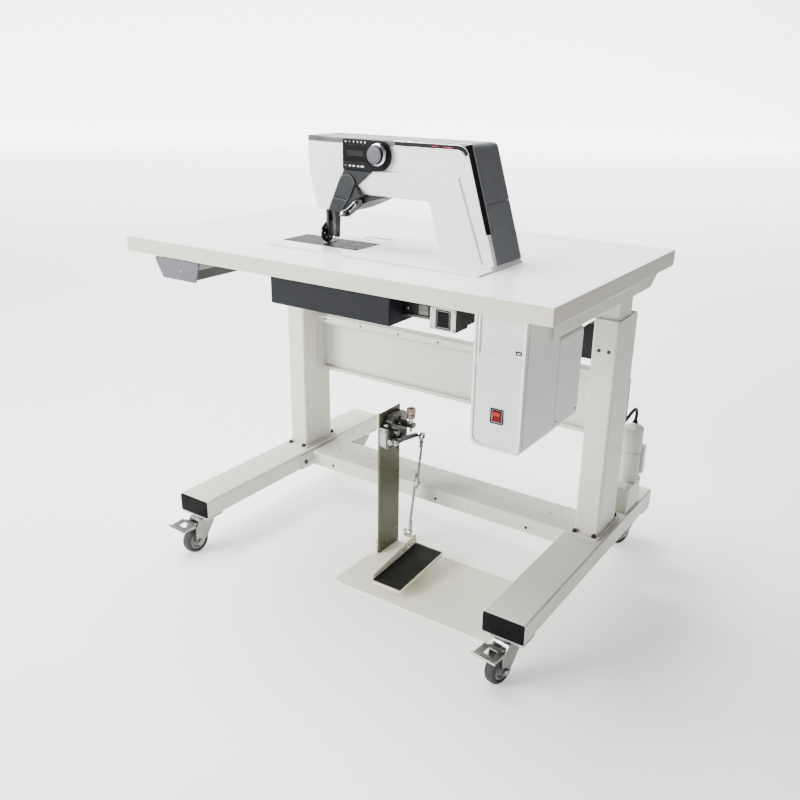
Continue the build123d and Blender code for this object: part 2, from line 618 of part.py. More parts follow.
# ---------------------------------------------------------------- machine bed
BED_MID_X, BED_MID_Y = (BED_X0 + BED_X1) / 2, (BED_Y0 + BED_Y1) / 2
PLATE_X0, PLATE_X1, PLATE_Y0, PLATE_Y1 = -231, -1, -263, -165
with BuildPart() as bed:
    with BuildSketch(Plane.XY.offset(BED_TOP - BED_THICKNESS)):
        with Locations((BED_MID_X, BED_MID_Y)):
            RectangleRounded(BED_X1 - BED_X0, BED_Y1 - BED_Y0, 5)
    extrude(amount=BED_THICKNESS)
    fillet(bed.faces().sort_by(Axis.Z)[-1].edges(), 1.2)
    with BuildSketch(Plane.XY.offset(896)):
        with Locations((BED_MID_X, BED_MID_Y + 6)):
            RectangleRounded(BED_X1 - BED_X0 - 20, BED_Y1 - BED_Y0 - 26, 4)
            RectangleRounded(BED_X1 - BED_X0 - 34, BED_Y1 - BED_Y0 - 40, 3, mode=Mode.SUBTRACT)
    extrude(amount=BED_TOP - BED_THICKNESS - 896)
    with BuildSketch(Plane.XY.offset(BED_TOP - 3)):
        with Locations(((PLATE_X0 + PLATE_X1) / 2, (PLATE_Y0 + PLATE_Y1) / 2)):
            Rectangle(PLATE_X1 - PLATE_X0 + 0.2, PLATE_Y1 - PLATE_Y0 + 0.2)
    extrude(amount=10, mode=Mode.SUBTRACT)
    with BuildSketch(Plane.XY.offset(900)):
        with Locations((NEEDLE_X - 4, NEEDLE_Y + 10)):
            RectangleRounded(60, 64, 4)
    extrude(amount=60, mode=Mode.SUBTRACT)
    # bearing of the hook shaft
    add(box(NEEDLE_X - 18, NEEDLE_X + 10, -150, -128, 893, 924))
    with BuildSketch(Plane.XZ.offset(160)):
        with Locations((NEEDLE_X - 4, HOOK_Z)):
            Circle(6.06)
    extrude(amount=-40, mode=Mode.SUBTRACT)
    for x in HINGES_X:
        with BuildSketch(Plane.YZ.offset(x - 24.6)):
            with BuildLine():
                Polyline((BED_Y1 - 2, 923), (BED_Y1 - 2, 930), (HINGE_Y, 930))
                RadiusArc((HINGE_Y, 930), (HINGE_Y, 914), 8)
                Polyline((HINGE_Y, 914), (-100, 914), (BED_Y1 - 2, 923))
            make_face()
            with Locations((HINGE_Y, HINGE_Z)):
                Circle(4.06, mode=Mode.SUBTRACT)
        extrude(amount=49.2)
save(bed.part, "bed")

with BuildPart() as needle_plate:
    with BuildSketch(Plane.XY.offset(BED_TOP - 3)):
        with Locations(((PLATE_X0 + PLATE_X1) / 2, (PLATE_Y0 + PLATE_Y1) / 2)):
            Rectangle(PLATE_X1 - PLATE_X0, PLATE_Y1 - PLATE_Y0)
        with Locations((NEEDLE_X, NEEDLE_Y)):
            SlotOverall(12, 5, rotation=90, mode=Mode.SUBTRACT)
    extrude(amount=3.6)
    with Locations(*[(x, y, BED_TOP + 0.6) for x in (-222, -10) for y in (-254, -174)]):
        CounterSinkHole(2.2, 4.2, 3.6)
save(needle_plate.part, "needle_plate")

# rotary hook under the needle, on a short shaft along Y
with BuildPart() as hook:
    with BuildSketch(Plane.XZ.offset(203)):
        with Locations((NEEDLE_X - 4, HOOK_Z)):
            Circle(17)
            Circle(12.5, mode=Mode.SUBTRACT)
    extrude(amount=-12)
    with BuildSketch(Plane.XZ.offset(193)):
        with Locations((NEEDLE_X - 4, HOOK_Z)):
            Circle(17)
    extrude(amount=-4)
    with BuildSketch(Plane.XZ.offset(189)):
        with Locations((NEEDLE_X - 4, HOOK_Z)):
            Circle(6)
    extrude(amount=-57)
    add(box(NEEDLE_X - 1, NEEDLE_X + 3, -204, -198, HOOK_Z + 12, HOOK_Z + 17.5))
save(hook.part, "hook")

# ---------------------------------------------------------------- arm and column casing
FACE = HEAD_FRONT + 4  # the face behind the raised panel
LEAN = (362 - 288) / (1176 - COLUMN_FOOT)  # both sides of the column lean outward by this much
SHELL_TOP = HEAD_TOP - COVER_THICKNESS


def right_edge(height):
    """X of the outer edge of the column at a height."""
    return 288 + (SHELL_TOP - height) * LEAN


# chrome strip and gloss strip that run along the top and down the right end of the casing
with BuildPart() as chrome_strip:
    with BuildSketch(Plane.XZ.offset(225)):
        with BuildLine():
            Polyline((145, HEAD_TOP - 1), (right_edge(HEAD_TOP) - 1, HEAD_TOP - 1), (right_edge(938) - 1, 938))
        trace(line_width=4)
    extrude(amount=6)
with BuildPart() as gloss_strip:
    with BuildSketch(Plane.XZ.offset(231)):
        with BuildLine():
            Polyline((145, HEAD_TOP - 1.5), (right_edge(HEAD_TOP) - 1.5, HEAD_TOP - 1.5), (right_edge(1005) - 1.5, 1005))
        trace(line_width=3)
    extrude(amount=15)
strips = group(chrome_strip.part, gloss_strip.part)
save(strips, "edge_trim")

with BuildPart() as arm_shell:
    with BuildSketch(Plane.XZ.offset(-FACE)):
        with BuildLine():
            Polyline(
                (NOSE_LEFT, SHELL_TOP), (right_edge(SHELL_TOP), SHELL_TOP), (right_edge(COLUMN_FOOT), COLUMN_FOOT),
                (229, COLUMN_FOOT), (190, ARM_UNDER), (8, ARM_UNDER), (-46, 1026), (-58, 1019), (-134, 1018),
                (NOSE_LEFT, 1118), close=True,
            )
        make_face()
    extrude(amount=-(HEAD_REAR - FACE))
    # nose: its front face stands forward above and falls back below, with a slanted corner at the left
    with BuildSketch(Plane.XZ.offset(-FACE)):
        with BuildLine():
            Polyline((NOSE_LEFT, SHELL_TOP), (-40, SHELL_TOP), (-40, 1117), (NOSE_LEFT, 1117), close=True)
        make_face()
    extrude(amount=4)
    with BuildSketch(Plane.YZ.offset(-160)):
        with BuildLine():
            Polyline((HEAD_FRONT - 1, 1117), (HEAD_FRONT, 1117), (HEAD_FRONT + 14, 1017), (HEAD_FRONT - 1, 1017), close=True)
        make_face()
    extrude(amount=120, mode=Mode.SUBTRACT)
    with BuildSketch(Plane.XY.offset(1000)):
        with BuildLine():
            Polyline((-170, FACET_Y), (NOSE_LEFT, FACET_Y), (-100, HEAD_FRONT), (-100, -256), (-170, -256), close=True)
        make_face()
    extrude(amount=200, mode=Mode.SUBTRACT)
    # raised panel over the arm and column
    with BuildSketch(Plane.XZ.offset(-FACE)):
        with BuildLine():
            Polyline(
                (20, 1122), (267, 1122), (337, COLUMN_FOOT), (229, COLUMN_FOOT), (190, ARM_UNDER + 1),
                (8, ARM_UNDER + 1), (-12, 1086), close=True,
            )
        make_face()
    extrude(amount=4, taper=40)
    # slanted lower front edge of the arm
    with BuildSketch(Plane.YZ.offset(-60)):
        with BuildLine():
            Polyline((HEAD_FRONT - 5, 1084), (HEAD_FRONT, 1084), (HEAD_FRONT + 12, ARM_UNDER), (HEAD_FRONT - 5, ARM_UNDER), close=True)
        make_face()
    extrude(amount=245, mode=Mode.SUBTRACT)
    # foot of the column
    with BuildSketch(Plane.XY.offset(BED_TOP)):
        with Locations((294, -190)):
            RectangleRounded(140, 142, 6)
    extrude(amount=7, taper=35)
    # hollow inside, open at the top, at the nose and where the end covers sit
    with BuildSketch(Plane.XZ.offset(-(FACE + 14))):
        with BuildLine():
            Polyline(
                (-146, SHELL_TOP + 1), (270, SHELL_TOP + 1), (right_edge(960) - 30, 960), (244, 960), (200, 1072),
                (4, 1072), (-46, 1038), (-62, 1030), (-122, 1030), (-146, 1120), close=True,
            )
        make_face()
    extrude(amount=-(HEAD_REAR - FACE - 20), mode=Mode.SUBTRACT)
    with BuildSketch(Plane.XY.offset(1000)):
        with Locations((-102, -204)):
            Rectangle(44, 55)
    extrude(amount=60, mode=Mode.SUBTRACT)
    with BuildSketch(Plane.XZ.offset(225)):
        with BuildLine():
            Polyline(
                (right_edge(1190) - 20, 1190), (400, 1190), (400, COLUMN_FOOT + 3),
                (right_edge(COLUMN_FOOT + 3) - 20, COLUMN_FOOT + 3), close=True,
            )
        make_face()
    extrude(amount=-120, mode=Mode.SUBTRACT)
casing = arm_shell.part - chrome_strip.part - gloss_strip.part
save(casing.solids().sort_by(SortBy.VOLUME)[-1], "arm_shell")

# ---------------------------------------------------------------- covers on the head
with BuildPart() as top_cover:
    with BuildSketch(Plane.XY.offset(SHELL_TOP)):
        with BuildLine():
            Polyline(
                (NOSE_LEFT, HEAD_REAR), (NOSE_LEFT, FACET_Y), (-100, HEAD_FRONT), (right_edge(SHELL_TOP) - 7, HEAD_FRONT),
                (right_edge(SHELL_TOP) - 7, -226), (264.5, -226), (264.5, HEAD_REAR), close=True,
            )
        make_face()
    extrude(amount=COVER_THICKNESS)
    chamfer(top_cover.faces().sort_by(Axis.Z)[-1].edges().filter_by(Axis.X), 2)
save(top_cover.part - chrome_strip.part - gloss_strip.part, "top_cover")

SEAM_Z = 1066
for label, low, high in (("lower_end_cover", COLUMN_FOOT + 4, SEAM_Z - 0.6), ("upper_end_cover", SEAM_Z + 0.6, HEAD_TOP)):
    with BuildPart() as end_cover:
        with BuildSketch(Plane.XZ.offset(224.5)):
            with BuildLine():
                Polyline(
                    (right_edge(low) - 19, low), (right_edge(low) + 2, low), (right_edge(high) + 2, high),
                    (right_edge(high) - 19, high), close=True,
                )
            make_face()
        extrude(amount=-(HEAD_REAR + 224.5))
        if high == HEAD_TOP:
            fillet(end_cover.edges().filter_by(Axis.Y).group_by(Axis.Z)[-1].sort_by(Axis.X)[-1:], 14)
        chamfer(end_cover.faces().sort_by(Axis.Y)[0].edges(), 1)
    save(end_cover.part - chrome_strip.part, label)



with BuildPart() as control_panel:
    with BuildSketch(Plane.XZ.offset(-HEAD_FRONT)):
        with BuildLine():
            Polyline((PANEL_END, 1119), (-39, 1119), (-39, 1187), (PANEL_END, 1187))
            RadiusArc((PANEL_END, 1187), (PANEL_END, 1119), 34)
        make_face()
    extrude(amount=12)
    chamfer(control_panel.faces().sort_by(Axis.Y)[0].edges(), 1.5)
    with BuildSketch(Plane.XZ.offset(-HEAD_FRONT + 11)):
        with Locations((-0.5, 1156)):
            Rectangle(73, 38)
    extrude(amount=5, mode=Mode.SUBTRACT)
    with BuildSketch(Plane.XZ.offset(-HEAD_FRONT)):
        with Locations((DIAL_X, DIAL_Z)):
            Circle(5.06)
    extrude(amount=30, mode=Mode.SUBTRACT)
save(control_panel.part, "control_panel")

with BuildPart() as dial:
    with BuildSketch(Plane.XY.offset(DIAL_Z)):
        with BuildLine():
            Polyline((0, -251), (5, -251), (5, -262.6), (24.5, -262.6), (24.5, -267), (21.8, -269.5), (21.8, -275))
            Polyline((21.8, -275), (20, -277), (0, -277), (0, -251))
        make_face()
    revolve(axis=Axis((0, 0, DIAL_Z), (0, 1, 0)))
save(Pos(DIAL_X, 0, 0) * dial.part, "dial")

with BuildPart() as needle_cover:
    with BuildSketch(Plane.XZ.offset(-HEAD_FRONT - 2)):
        with BuildLine():
            Polyline((-40, 1118), (40, 1118), (-4, 1083), (13, 1060), (-12, 1048), (-50, 1019), (-86, 1019), close=True)
        make_face()
    extrude(amount=9)
    chamfer(needle_cover.faces().sort_by(Axis.Y)[0].edges(), 1.5)
    # arched cover plate with its two ribs
    with BuildSketch(Plane.XZ.offset(-HEAD_FRONT + 7)):
        with BuildLine():
            Line((-84, 1021), (-50, 1094))
            ThreePointArc((-50, 1094), (-27, 1109), (-5, 1088))
            Polyline((-5, 1088), (-20, 1056), (-48, 1021), (-84, 1021))
        make_face()
    extrude(amount=4)
    for x, z, width in ((-44, 1056, 34), (-52, 1047, 32)):
        add(Pos(x, HEAD_FRONT - 11, z) * Box(width, 2, 1.6, mode=Mode.PRIVATE))
    # dark underside from the nose along the arm
    with BuildSketch(Plane.XZ.offset(240)):
        with BuildLine():
            Polyline((72, 1062), (8, 1062), (-46, 1026), (-58, 1019), (-56, 1014), (-19, 1029), (17, 1046), close=True)
        make_face()
    extrude(amount=-112)
    with BuildSketch(Plane.XZ.offset(245)):
        with Locations((2, 1048)):
            Circle(3.8)
    extrude(amount=-20, mode=Mode.SUBTRACT)
save(needle_cover.part - arm_shell.part, "needle_cover")

# ---------------------------------------------------------------- sewing mechanism at the needle
with BuildPart() as needle_bar:
    with BuildSketch(Plane.XY.offset(992)):
        with Locations((NEEDLE_X, NEEDLE_Y)):
            Circle(3.6)
    extrude(amount=140)
    with BuildSketch(Plane.XY.offset(986)):
        with Locations((NEEDLE_X, NEEDLE_Y)):
            Circle(5)
    extrude(amount=14)
    with BuildSketch(Plane.XY.offset(946)):
        with Locations((NEEDLE_X, NEEDLE_Y)):
            Circle(1.1)
    extrude(amount=42)
    with BuildSketch(Plane.XY.offset(946)):
        with Locations((NEEDLE_X, NEEDLE_Y)):
            Circle(1.1)
    extrude(amount=-6, taper=9)
save(needle_bar.part, "needle_bar")

with BuildPart() as presser_foot:
    with BuildSketch(Plane.XY.offset(1036)):
        with Locations((-96, -222)):
            Circle(5)
    extrude(amount=90)
    add(box(-116, -90, -230, -214, 1036, 1048))
    # left arm beside the roller, and the right arm with its bearing
    with BuildSketch(Plane.YZ.offset(-116)):
        with BuildLine():
            Polyline((-230, 1040), (-214, 1040), (-213, 985), (-210, ROLLER_Z))
            RadiusArc((-210, ROLLER_Z), (-226, ROLLER_Z), 8.6)
            Polyline((-226, ROLLER_Z), (-230, 985), (-230, 1040))
        make_face()
    extrude(amount=7)
    with BuildSketch(Plane.YZ.offset(-99)):
        with BuildLine():
            Polyline((-228, 1040), (-208, 1040), (-206, 990), (-209, 954))
            RadiusArc((-209, 954), (-223, 954), 8)
            Polyline((-223, 954), (-226, 990), (-228, 1040))
        make_face()
    extrude(amount=9)
    with BuildSketch(Plane.YZ.offset(-99)):
        with Locations((-216, 954)):
            Circle(5)
    extrude(amount=11)
    with BuildSketch(Plane.YZ.offset(-129)):
        with Locations((ROLLER_Y, ROLLER_Z)):
            Circle(3)
    extrude(amount=14)
    with BuildSketch(Plane.YZ.offset(-129.5)):
        with Locations((ROLLER_Y, ROLLER_Z)):
            Circle(5.5)
    extrude(amount=2.5)
save(presser_foot.part, "presser_foot")

with BuildPart() as roller_foot:
    with BuildSketch(Plane.XY):
        with BuildLine():
            Polyline((-2.6, 0), (-2.6, ROLLER_R - 0.8), (-1.8, ROLLER_R), (1.8, ROLLER_R), (2.6, ROLLER_R - 0.8), (2.6, 0), close=True)
        make_face()
    revolve(axis=Axis.X)
    with BuildSketch(Plane.YZ.offset(-5)):
        Circle(3.05)
        with PolarLocations(14, 6):
            Circle(3.2)
    extrude(amount=10, mode=Mode.SUBTRACT)
save(Pos(ROLLER_X, ROLLER_Y, ROLLER_Z) * roller_foot.part, "roller_foot")

with BuildPart() as take_up_lever:
    with BuildSketch(Plane.XZ.offset(246)):
        with BuildLine():
            Polyline(
                (-2, 1051), (8, 1051), (6, 1036), (-30, 1010), (-58, 1006), (-60, 1011), (-34, 1018), (-8, 1038),
                close=True,
            )
        make_face()
    extrude(amount=4)
    with BuildSketch(Plane.XZ.offset(234.4)):
        with Locations((2, 1048)):
            Circle(3.4)
    extrude(amount=15.6)
    with BuildSketch(Plane.XZ.offset(246)):
        with Locations((-38, 1015)):
            Circle(6.8)
    extrude(amount=9)
save(take_up_lever.part, "take_up_lever")

# ---------------------------------------------------------------- pedal stand
with BuildPart() as floor_plate:
    with BuildSketch(Plane.XY):
        with Locations((165, -133.5)):
            RectangleRounded(486, 283, 4)
    extrude(amount=3)
    with BuildSketch(Plane.XZ.offset(91)):
        with BuildLine():
            Polyline((-79, 3), (-79, TAB_TOP - 9))
            RadiusArc((-79, TAB_TOP - 9), (-61, TAB_TOP - 9), 9.4)
            Polyline((-61, TAB_TOP - 9), (-61, 3), (-79, 3))
        make_face()
    extrude(amount=-3)
    for x in (TREADLE_X0 + 16, TREADLE_X1 - 22):
        with BuildSketch(Plane.YZ.offset(x)):
            with BuildLine():
                Polyline((TREADLE_Y - 9, 3), (TREADLE_Y - 6, TREADLE_Z))
                RadiusArc((TREADLE_Y - 6, TREADLE_Z), (TREADLE_Y + 6, TREADLE_Z), 6)
                Polyline((TREADLE_Y + 6, TREADLE_Z), (TREADLE_Y + 9, 3), (TREADLE_Y - 9, 3))
            make_face()
            with Locations((TREADLE_Y, TREADLE_Z)):
                Circle(3.06, mode=Mode.SUBTRACT)
        extrude(amount=4)
save(floor_plate.part, "floor_plate")

with BuildPart() as pedal_post:
    with BuildSketch(Plane.XY.offset(3)):
        with BuildLine():
            Polyline((POST_X - 5, -85), (POST_X, -85), (POST_X, 11), (POST_X - 5, 11))
        trace(line_width=2.8)
    extrude(amount=443)
    for y in (-74, -58):
        with BuildSketch(Plane.YZ.offset(POST_X + 1.4)):
            with Locations((y, 20)):
                Circle(4)
        extrude(amount=2, taper=20)
    with BuildSketch(Plane.YZ.offset(POST_X + 1.4)):
        with Locations((2, 34), (0, 240), (0, 325)):
            Circle(3)
    extrude(amount=1.6, taper=20)
save(pedal_post.part, "pedal_post")

FACE_X = POST_X + 1.4
KNOB_X, KNOB_Y = 3, -17
with BuildPart() as speed_control:
    add(box(FACE_X, FACE_X + 28, -86, -70, 345, 406))
    with BuildSketch(Plane.YZ.offset(FACE_X)):
        with BuildLine():
            Polyline((-70, 345), (-70, 424), (-52, 436), (-2, 436), (6, 420), (6, 352), (-10, 345), close=True)
        make_face()
    extrude(amount=30)
    for y, z, radius, length in ((-62, 392, 8, 46), (-44, 414, 7, 42), (-30, 424, 5, 34), (-24, 366, 10, 34)):
        with BuildSketch(Plane.YZ.offset(FACE_X)):
            with Locations((y, z)):
                Circle(radius)
        extrude(amount=length)
    with BuildSketch(Plane.YZ.offset(FACE_X)):
        with Locations((LEVER_Y, LEVER_Z)):
            Circle(5)
    extrude(amount=52)
    # carrier of the adjusting screw
    add(box(FACE_X + 28, KNOB_X + 11, KNOB_Y - 9, KNOB_Y + 9, 398, 410))
    with BuildSketch(Plane.XY.offset(390)):
        with Locations((KNOB_X, KNOB_Y)):
            Circle(3.06)
    extrude(amount=40, mode=Mode.SUBTRACT)
save(speed_control.part, "speed_control")

with BuildPart() as control_lever:
    with BuildSketch(Plane.YZ.offset(-12)):
        with BuildLine():
            Polyline((LEVER_Y, 380), (20, 364), (30, 362), (30, 350), (20, 352), (LEVER_Y, 364))
            RadiusArc((LEVER_Y, 364), (LEVER_Y, 380), -8)
        make_face()
        with Locations((LEVER_Y, LEVER_Z)):
            Circle(5.06, mode=Mode.SUBTRACT)
    extrude(amount=9)
    with BuildSketch(Plane.YZ.offset(-12)):
        with Locations((24, 357)):
            Circle(3)
    extrude(amount=17)
    add(ball(UPPER_BALL, 6.5))
save(control_lever.part.solids().sort_by(SortBy.VOLUME)[-1], "control_lever")

with BuildPart() as control_knob:
    with BuildSketch(Plane.XY.offset(384)):
        with Locations((KNOB_X, KNOB_Y)):
            Circle(3)
    extrude(amount=66)
    with BuildSketch(Plane.XY.offset(426)):
        with Locations((KNOB_X, KNOB_Y)):
            Circle(12)
    extrude(amount=10)
    with BuildSketch(Plane.XY.offset(436)):
        with Locations((KNOB_X, KNOB_Y)):
            Circle(9)
    extrude(amount=4)
    with BuildSketch(Plane.XY.offset(440)):
        with Locations((KNOB_X, KNOB_Y)):
            Circle(13)
            with PolarLocations(13.4, 24):
                Circle(0.9, mode=Mode.SUBTRACT)
    extrude(amount=14)
save(control_knob.part, "control_knob")

# the adjusting spring, drawn as its outer sleeve of coils
with BuildPart() as control_spring:
    with BuildSketch(Plane.XZ.offset(-KNOB_Y)):
        with BuildLine():
            Polyline((KNOB_X + 4, 410), (KNOB_X + 6.5, 410), (KNOB_X + 6.5, 425.6), (KNOB_X + 4, 425.6), close=True)
        make_face()
    revolve(axis=Axis((KNOB_X, KNOB_Y, 0), (0, 0, 1)))
save(control_spring.part, "control_spring")

SLOPE = (TOE_Z - HEEL_Z) / (TREADLE_TOE - TREADLE_HEEL)
TREADLE_MID_X = (TREADLE_X0 + TREADLE_X1) / 2
with BuildPart() as treadle:
    with BuildSketch(Plane.YZ.offset(TREADLE_X0)):
        with BuildLine():
            Polyline((TREADLE_HEEL, HEEL_Z), (TREADLE_TOE, TOE_Z), (TREADLE_TOE, TOE_Z + 8), (TREADLE_HEEL, HEEL_Z + 8), close=True)
        make_face()
    extrude(amount=TREADLE_X1 - TREADLE_X0)
    fillet(treadle.edges().filter_by(Axis.Z), 8)
    with BuildSketch(Plane.YZ.offset(TREADLE_X0 + 3)):
        with BuildLine():
            Polyline(
                (TREADLE_HEEL + 3, HEEL_Z + 2.2), (TREADLE_TOE - 3, TOE_Z + 2), (TREADLE_TOE - 3, TOE_Z + 30),
                (TREADLE_HEEL + 3, HEEL_Z + 30), close=True,
            )
        make_face()
    extrude(amount=TREADLE_X1 - TREADLE_X0 - 6, mode=Mode.SUBTRACT)
    with BuildSketch(Plane.YZ.offset(TREADLE_X0)):
        with BuildLine():
            Polyline(
                (TREADLE_HEEL + 8, HEEL_Z + 3), (TREADLE_HEEL + 8, HEEL_Z + 21), (TREADLE_TOE - 14, EAR_TOP),
                (TREADLE_TOE, EAR_TOP), (TREADLE_TOE, TOE_Z + 3), close=True,
            )
        make_face()
        with Locations(*[(TREADLE_TOE - 14 - 15 * i, TOE_Z + 16 - i) for i in range(3)]):
            Circle(3, mode=Mode.SUBTRACT)
    extrude(amount=3)
    for x in (TREADLE_X0 + 21, TREADLE_X1 - 27):
        with BuildSketch(Plane.YZ.offset(x)):
            with BuildLine():
                Polyline((TREADLE_Y - 12, 27), (TREADLE_Y - 6, TREADLE_Z))
                RadiusArc((TREADLE_Y - 6, TREADLE_Z), (TREADLE_Y + 6, TREADLE_Z), -6)
                Polyline((TREADLE_Y + 6, TREADLE_Z), (TREADLE_Y + 12, 27), (TREADLE_Y - 12, 27))
            make_face()
        extrude(amount=4)
    for x, length in ((TREADLE_X0 + 14, 12), (TREADLE_X1 - 28, 12)):
        with BuildSketch(Plane.YZ.offset(x)):
            with Locations((TREADLE_Y, TREADLE_Z)):
                Circle(3)
        extrude(amount=length)
    # bracket out from the top of the flange, with the bolt that holds the ball
    add(box(8, TREADLE_X0 + 3, -54, -38, EAR_TOP - 3, EAR_TOP))
    add(box(8, 11, -53, -41, EAR_TOP - 3, LOWER_BALL[2] + 6))
    add(rod((9, LOWER_BALL[1], LOWER_BALL[2]), LOWER_BALL, 3))
    add(rod((3, LOWER_BALL[1], LOWER_BALL[2]), (9, LOWER_BALL[1], LOWER_BALL[2]), 6))
    add(ball(LOWER_BALL, 6))
save(treadle.part, "treadle")

with BuildPart() as treadle_mat:
    with BuildSketch(Plane.YZ.offset(TREADLE_X0 + 3.6)):
        with BuildLine():
            Polyline(
                (TREADLE_HEEL + 4, HEEL_Z + 2.4), (TREADLE_TOE - 4, TOE_Z + 2.2), (TREADLE_TOE - 4, TOE_Z + 7.2),
                (TREADLE_HEEL + 4, HEEL_Z + 7.4), close=True,
            )
        make_face()
    extrude(amount=TREADLE_X1 - TREADLE_X0 - 7.2)
    fillet(treadle_mat.edges().filter_by(Axis.Z), 6)
save(treadle_mat.part, "treadle_mat")

# pitman rod: two bars side by side in a clamp, a socket over each ball
LOW, HIGH = Vector(*LOWER_BALL), Vector(*UPPER_BALL)
ALONG = (HIGH - LOW).normalized()
SIDEWAYS = Vector(3, 0, 0)
SPAN = (HIGH - LOW).length


def socket(centre, inner, outer):
    """A thick ring around a ball, on its equator across the rod."""
    ring = Plane(origin=centre, z_dir=(1, 0, 0)) * (Cylinder(outer, 7) - Cylinder(inner, 7))
    return ring


clamp_plane = Plane(origin=LOW + ALONG * (SPAN * 0.52), x_dir=(1, 0, 0), z_dir=ALONG)
clamp_bolts = clamp_plane * Pos(7, 0, 0) * Rot(90, 0, 0) * Cylinder(3.5, 20)
clamp_bolts += clamp_plane * Pos(-7, 0, 5) * Rot(90, 0, 0) * Cylinder(3.5, 18)
pitman = (
    rod(LOW + ALONG * 9 - SIDEWAYS, LOW + ALONG * (SPAN * 0.62) - SIDEWAYS, ROD_RADIUS)
    + rod(LOW + ALONG * (SPAN * 0.46) + SIDEWAYS, HIGH - ALONG * 12 + SIDEWAYS, ROD_RADIUS)
    + clamp_plane * Box(15, 9, 18)
    + socket(LOW, 6.06, 9.5)
    + socket(HIGH, 8, 12)
    + rod(LOW + ALONG * 8, LOW + ALONG * 34, 4.6)
    + rod(HIGH - ALONG * 34, HIGH - ALONG * 10, 4.6)
    + clamp_bolts
)
save(pitman, "pitman_rods")
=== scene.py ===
"""The look of a leather sewing machine on a motor-lifted table, dressed around its CAD model. Metres."""

import json
import math

import bmesh
import bpy
from mathutils import Matrix, Vector


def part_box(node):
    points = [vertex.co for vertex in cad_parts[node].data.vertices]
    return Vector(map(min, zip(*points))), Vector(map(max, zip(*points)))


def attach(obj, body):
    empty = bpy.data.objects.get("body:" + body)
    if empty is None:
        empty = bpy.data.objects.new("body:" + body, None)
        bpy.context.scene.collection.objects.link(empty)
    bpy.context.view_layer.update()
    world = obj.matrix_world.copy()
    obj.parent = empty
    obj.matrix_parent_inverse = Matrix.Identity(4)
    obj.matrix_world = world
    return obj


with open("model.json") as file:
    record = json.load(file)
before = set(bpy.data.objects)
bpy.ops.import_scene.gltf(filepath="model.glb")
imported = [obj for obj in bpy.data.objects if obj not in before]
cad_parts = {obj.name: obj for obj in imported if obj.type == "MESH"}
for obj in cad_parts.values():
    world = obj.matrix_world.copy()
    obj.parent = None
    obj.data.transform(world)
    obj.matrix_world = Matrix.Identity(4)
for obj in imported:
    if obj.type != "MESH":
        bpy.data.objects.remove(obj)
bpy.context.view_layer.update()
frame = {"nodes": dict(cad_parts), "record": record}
NODES = frame["nodes"]
MM = 0.001
RECORD = frame["record"]
BODY_OF = {node: body for body, nodes in RECORD["behaviour"]["bodies"].items() for node in nodes}
DARKEST_CURVED = 10  # below this value the sRGB curve is a straight line


def linear(value):
    if value > DARKEST_CURVED:
        return ((value / 255 + 0.055) / 1.055) ** 2.4
    return value / 255 / 12.92


def srgb(red, green, blue):
    """Linear colour from the usual 0-255 values."""
    return [linear(red), linear(green), linear(blue), 1.0]


# ---------------------------------------------------------------- camera and light
FOCAL = 38.446  # mm
SENSOR_WIDTH = 36  # mm
CAMERA_AT = Vector((1.2223, -1.8704, 1.3307))
AZIMUTH, ELEVATION, ROLL = math.radians(34.16), math.radians(21.009), math.radians(0.769)
LIT_CENTRE = (0, -0.1, 0.6)
KEY = {"place": (-2.4, -3.8, 1.9), "size": (1.8, 1.8), "power": 300}
OVERHEAD = {"place": (-1.2, -0.2, 4.0), "size": (2.4, 2.4), "power": 360}
# the studio is bright to the operator's left and dimmer to the right
WORLD_FADE = (("From Min", -0.5), ("From Max", 0.3), ("To Min", 0.8), ("To Max", 0.22))
PAPER = (250, 250, 249)
WALL_PAPER = (248, 248, 247)
PAPER_DIM = (206, 206, 205)
SHEET_HALF_WIDTH = 14
FLOOR_ROWS = [(-12, -0.0005), (16, -0.0005)]  # depth and height of the floor sheet's near and far edges
WALL_ROWS = [(15, -0.5), (15.2, 5)]
FLOOR_GLOW, WALL_GLOW = (0.5, 3.6), (3.6, 3.6)


def add_camera():
    back = Vector((
        math.sin(AZIMUTH) * math.cos(ELEVATION),
        -math.cos(AZIMUTH) * math.cos(ELEVATION),
        math.sin(ELEVATION),
    ))
    right = Vector((math.cos(AZIMUTH), math.sin(AZIMUTH), 0))
    up = back.cross(right)
    side = right * math.cos(ROLL) + up * math.sin(ROLL)
    top = up * math.cos(ROLL) - right * math.sin(ROLL)
    data = bpy.data.cameras.new("camera")
    data.lens = FOCAL
    data.sensor_width = SENSOR_WIDTH
    data.clip_end = 60
    camera = bpy.data.objects.new("camera", data)
    turn = Matrix((side, top, back)).transposed().to_4x4()
    camera.matrix_world = Matrix.Translation(CAMERA_AT) @ turn
    bpy.context.scene.collection.objects.link(camera)
    bpy.context.scene.camera = camera


def add_light(name, place, size, power):
    data = bpy.data.lights.new(name, "AREA")
    data.shape = "RECTANGLE"
    data.size, data.size_y = size
    data.energy = power
    lamp = bpy.data.objects.new(name, data)
    lamp.location = place
    lamp.rotation_euler = (Vector(LIT_CENTRE) - Vector(place)).to_track_quat("-Z", "Y").to_euler()
    bpy.context.scene.collection.objects.link(lamp)


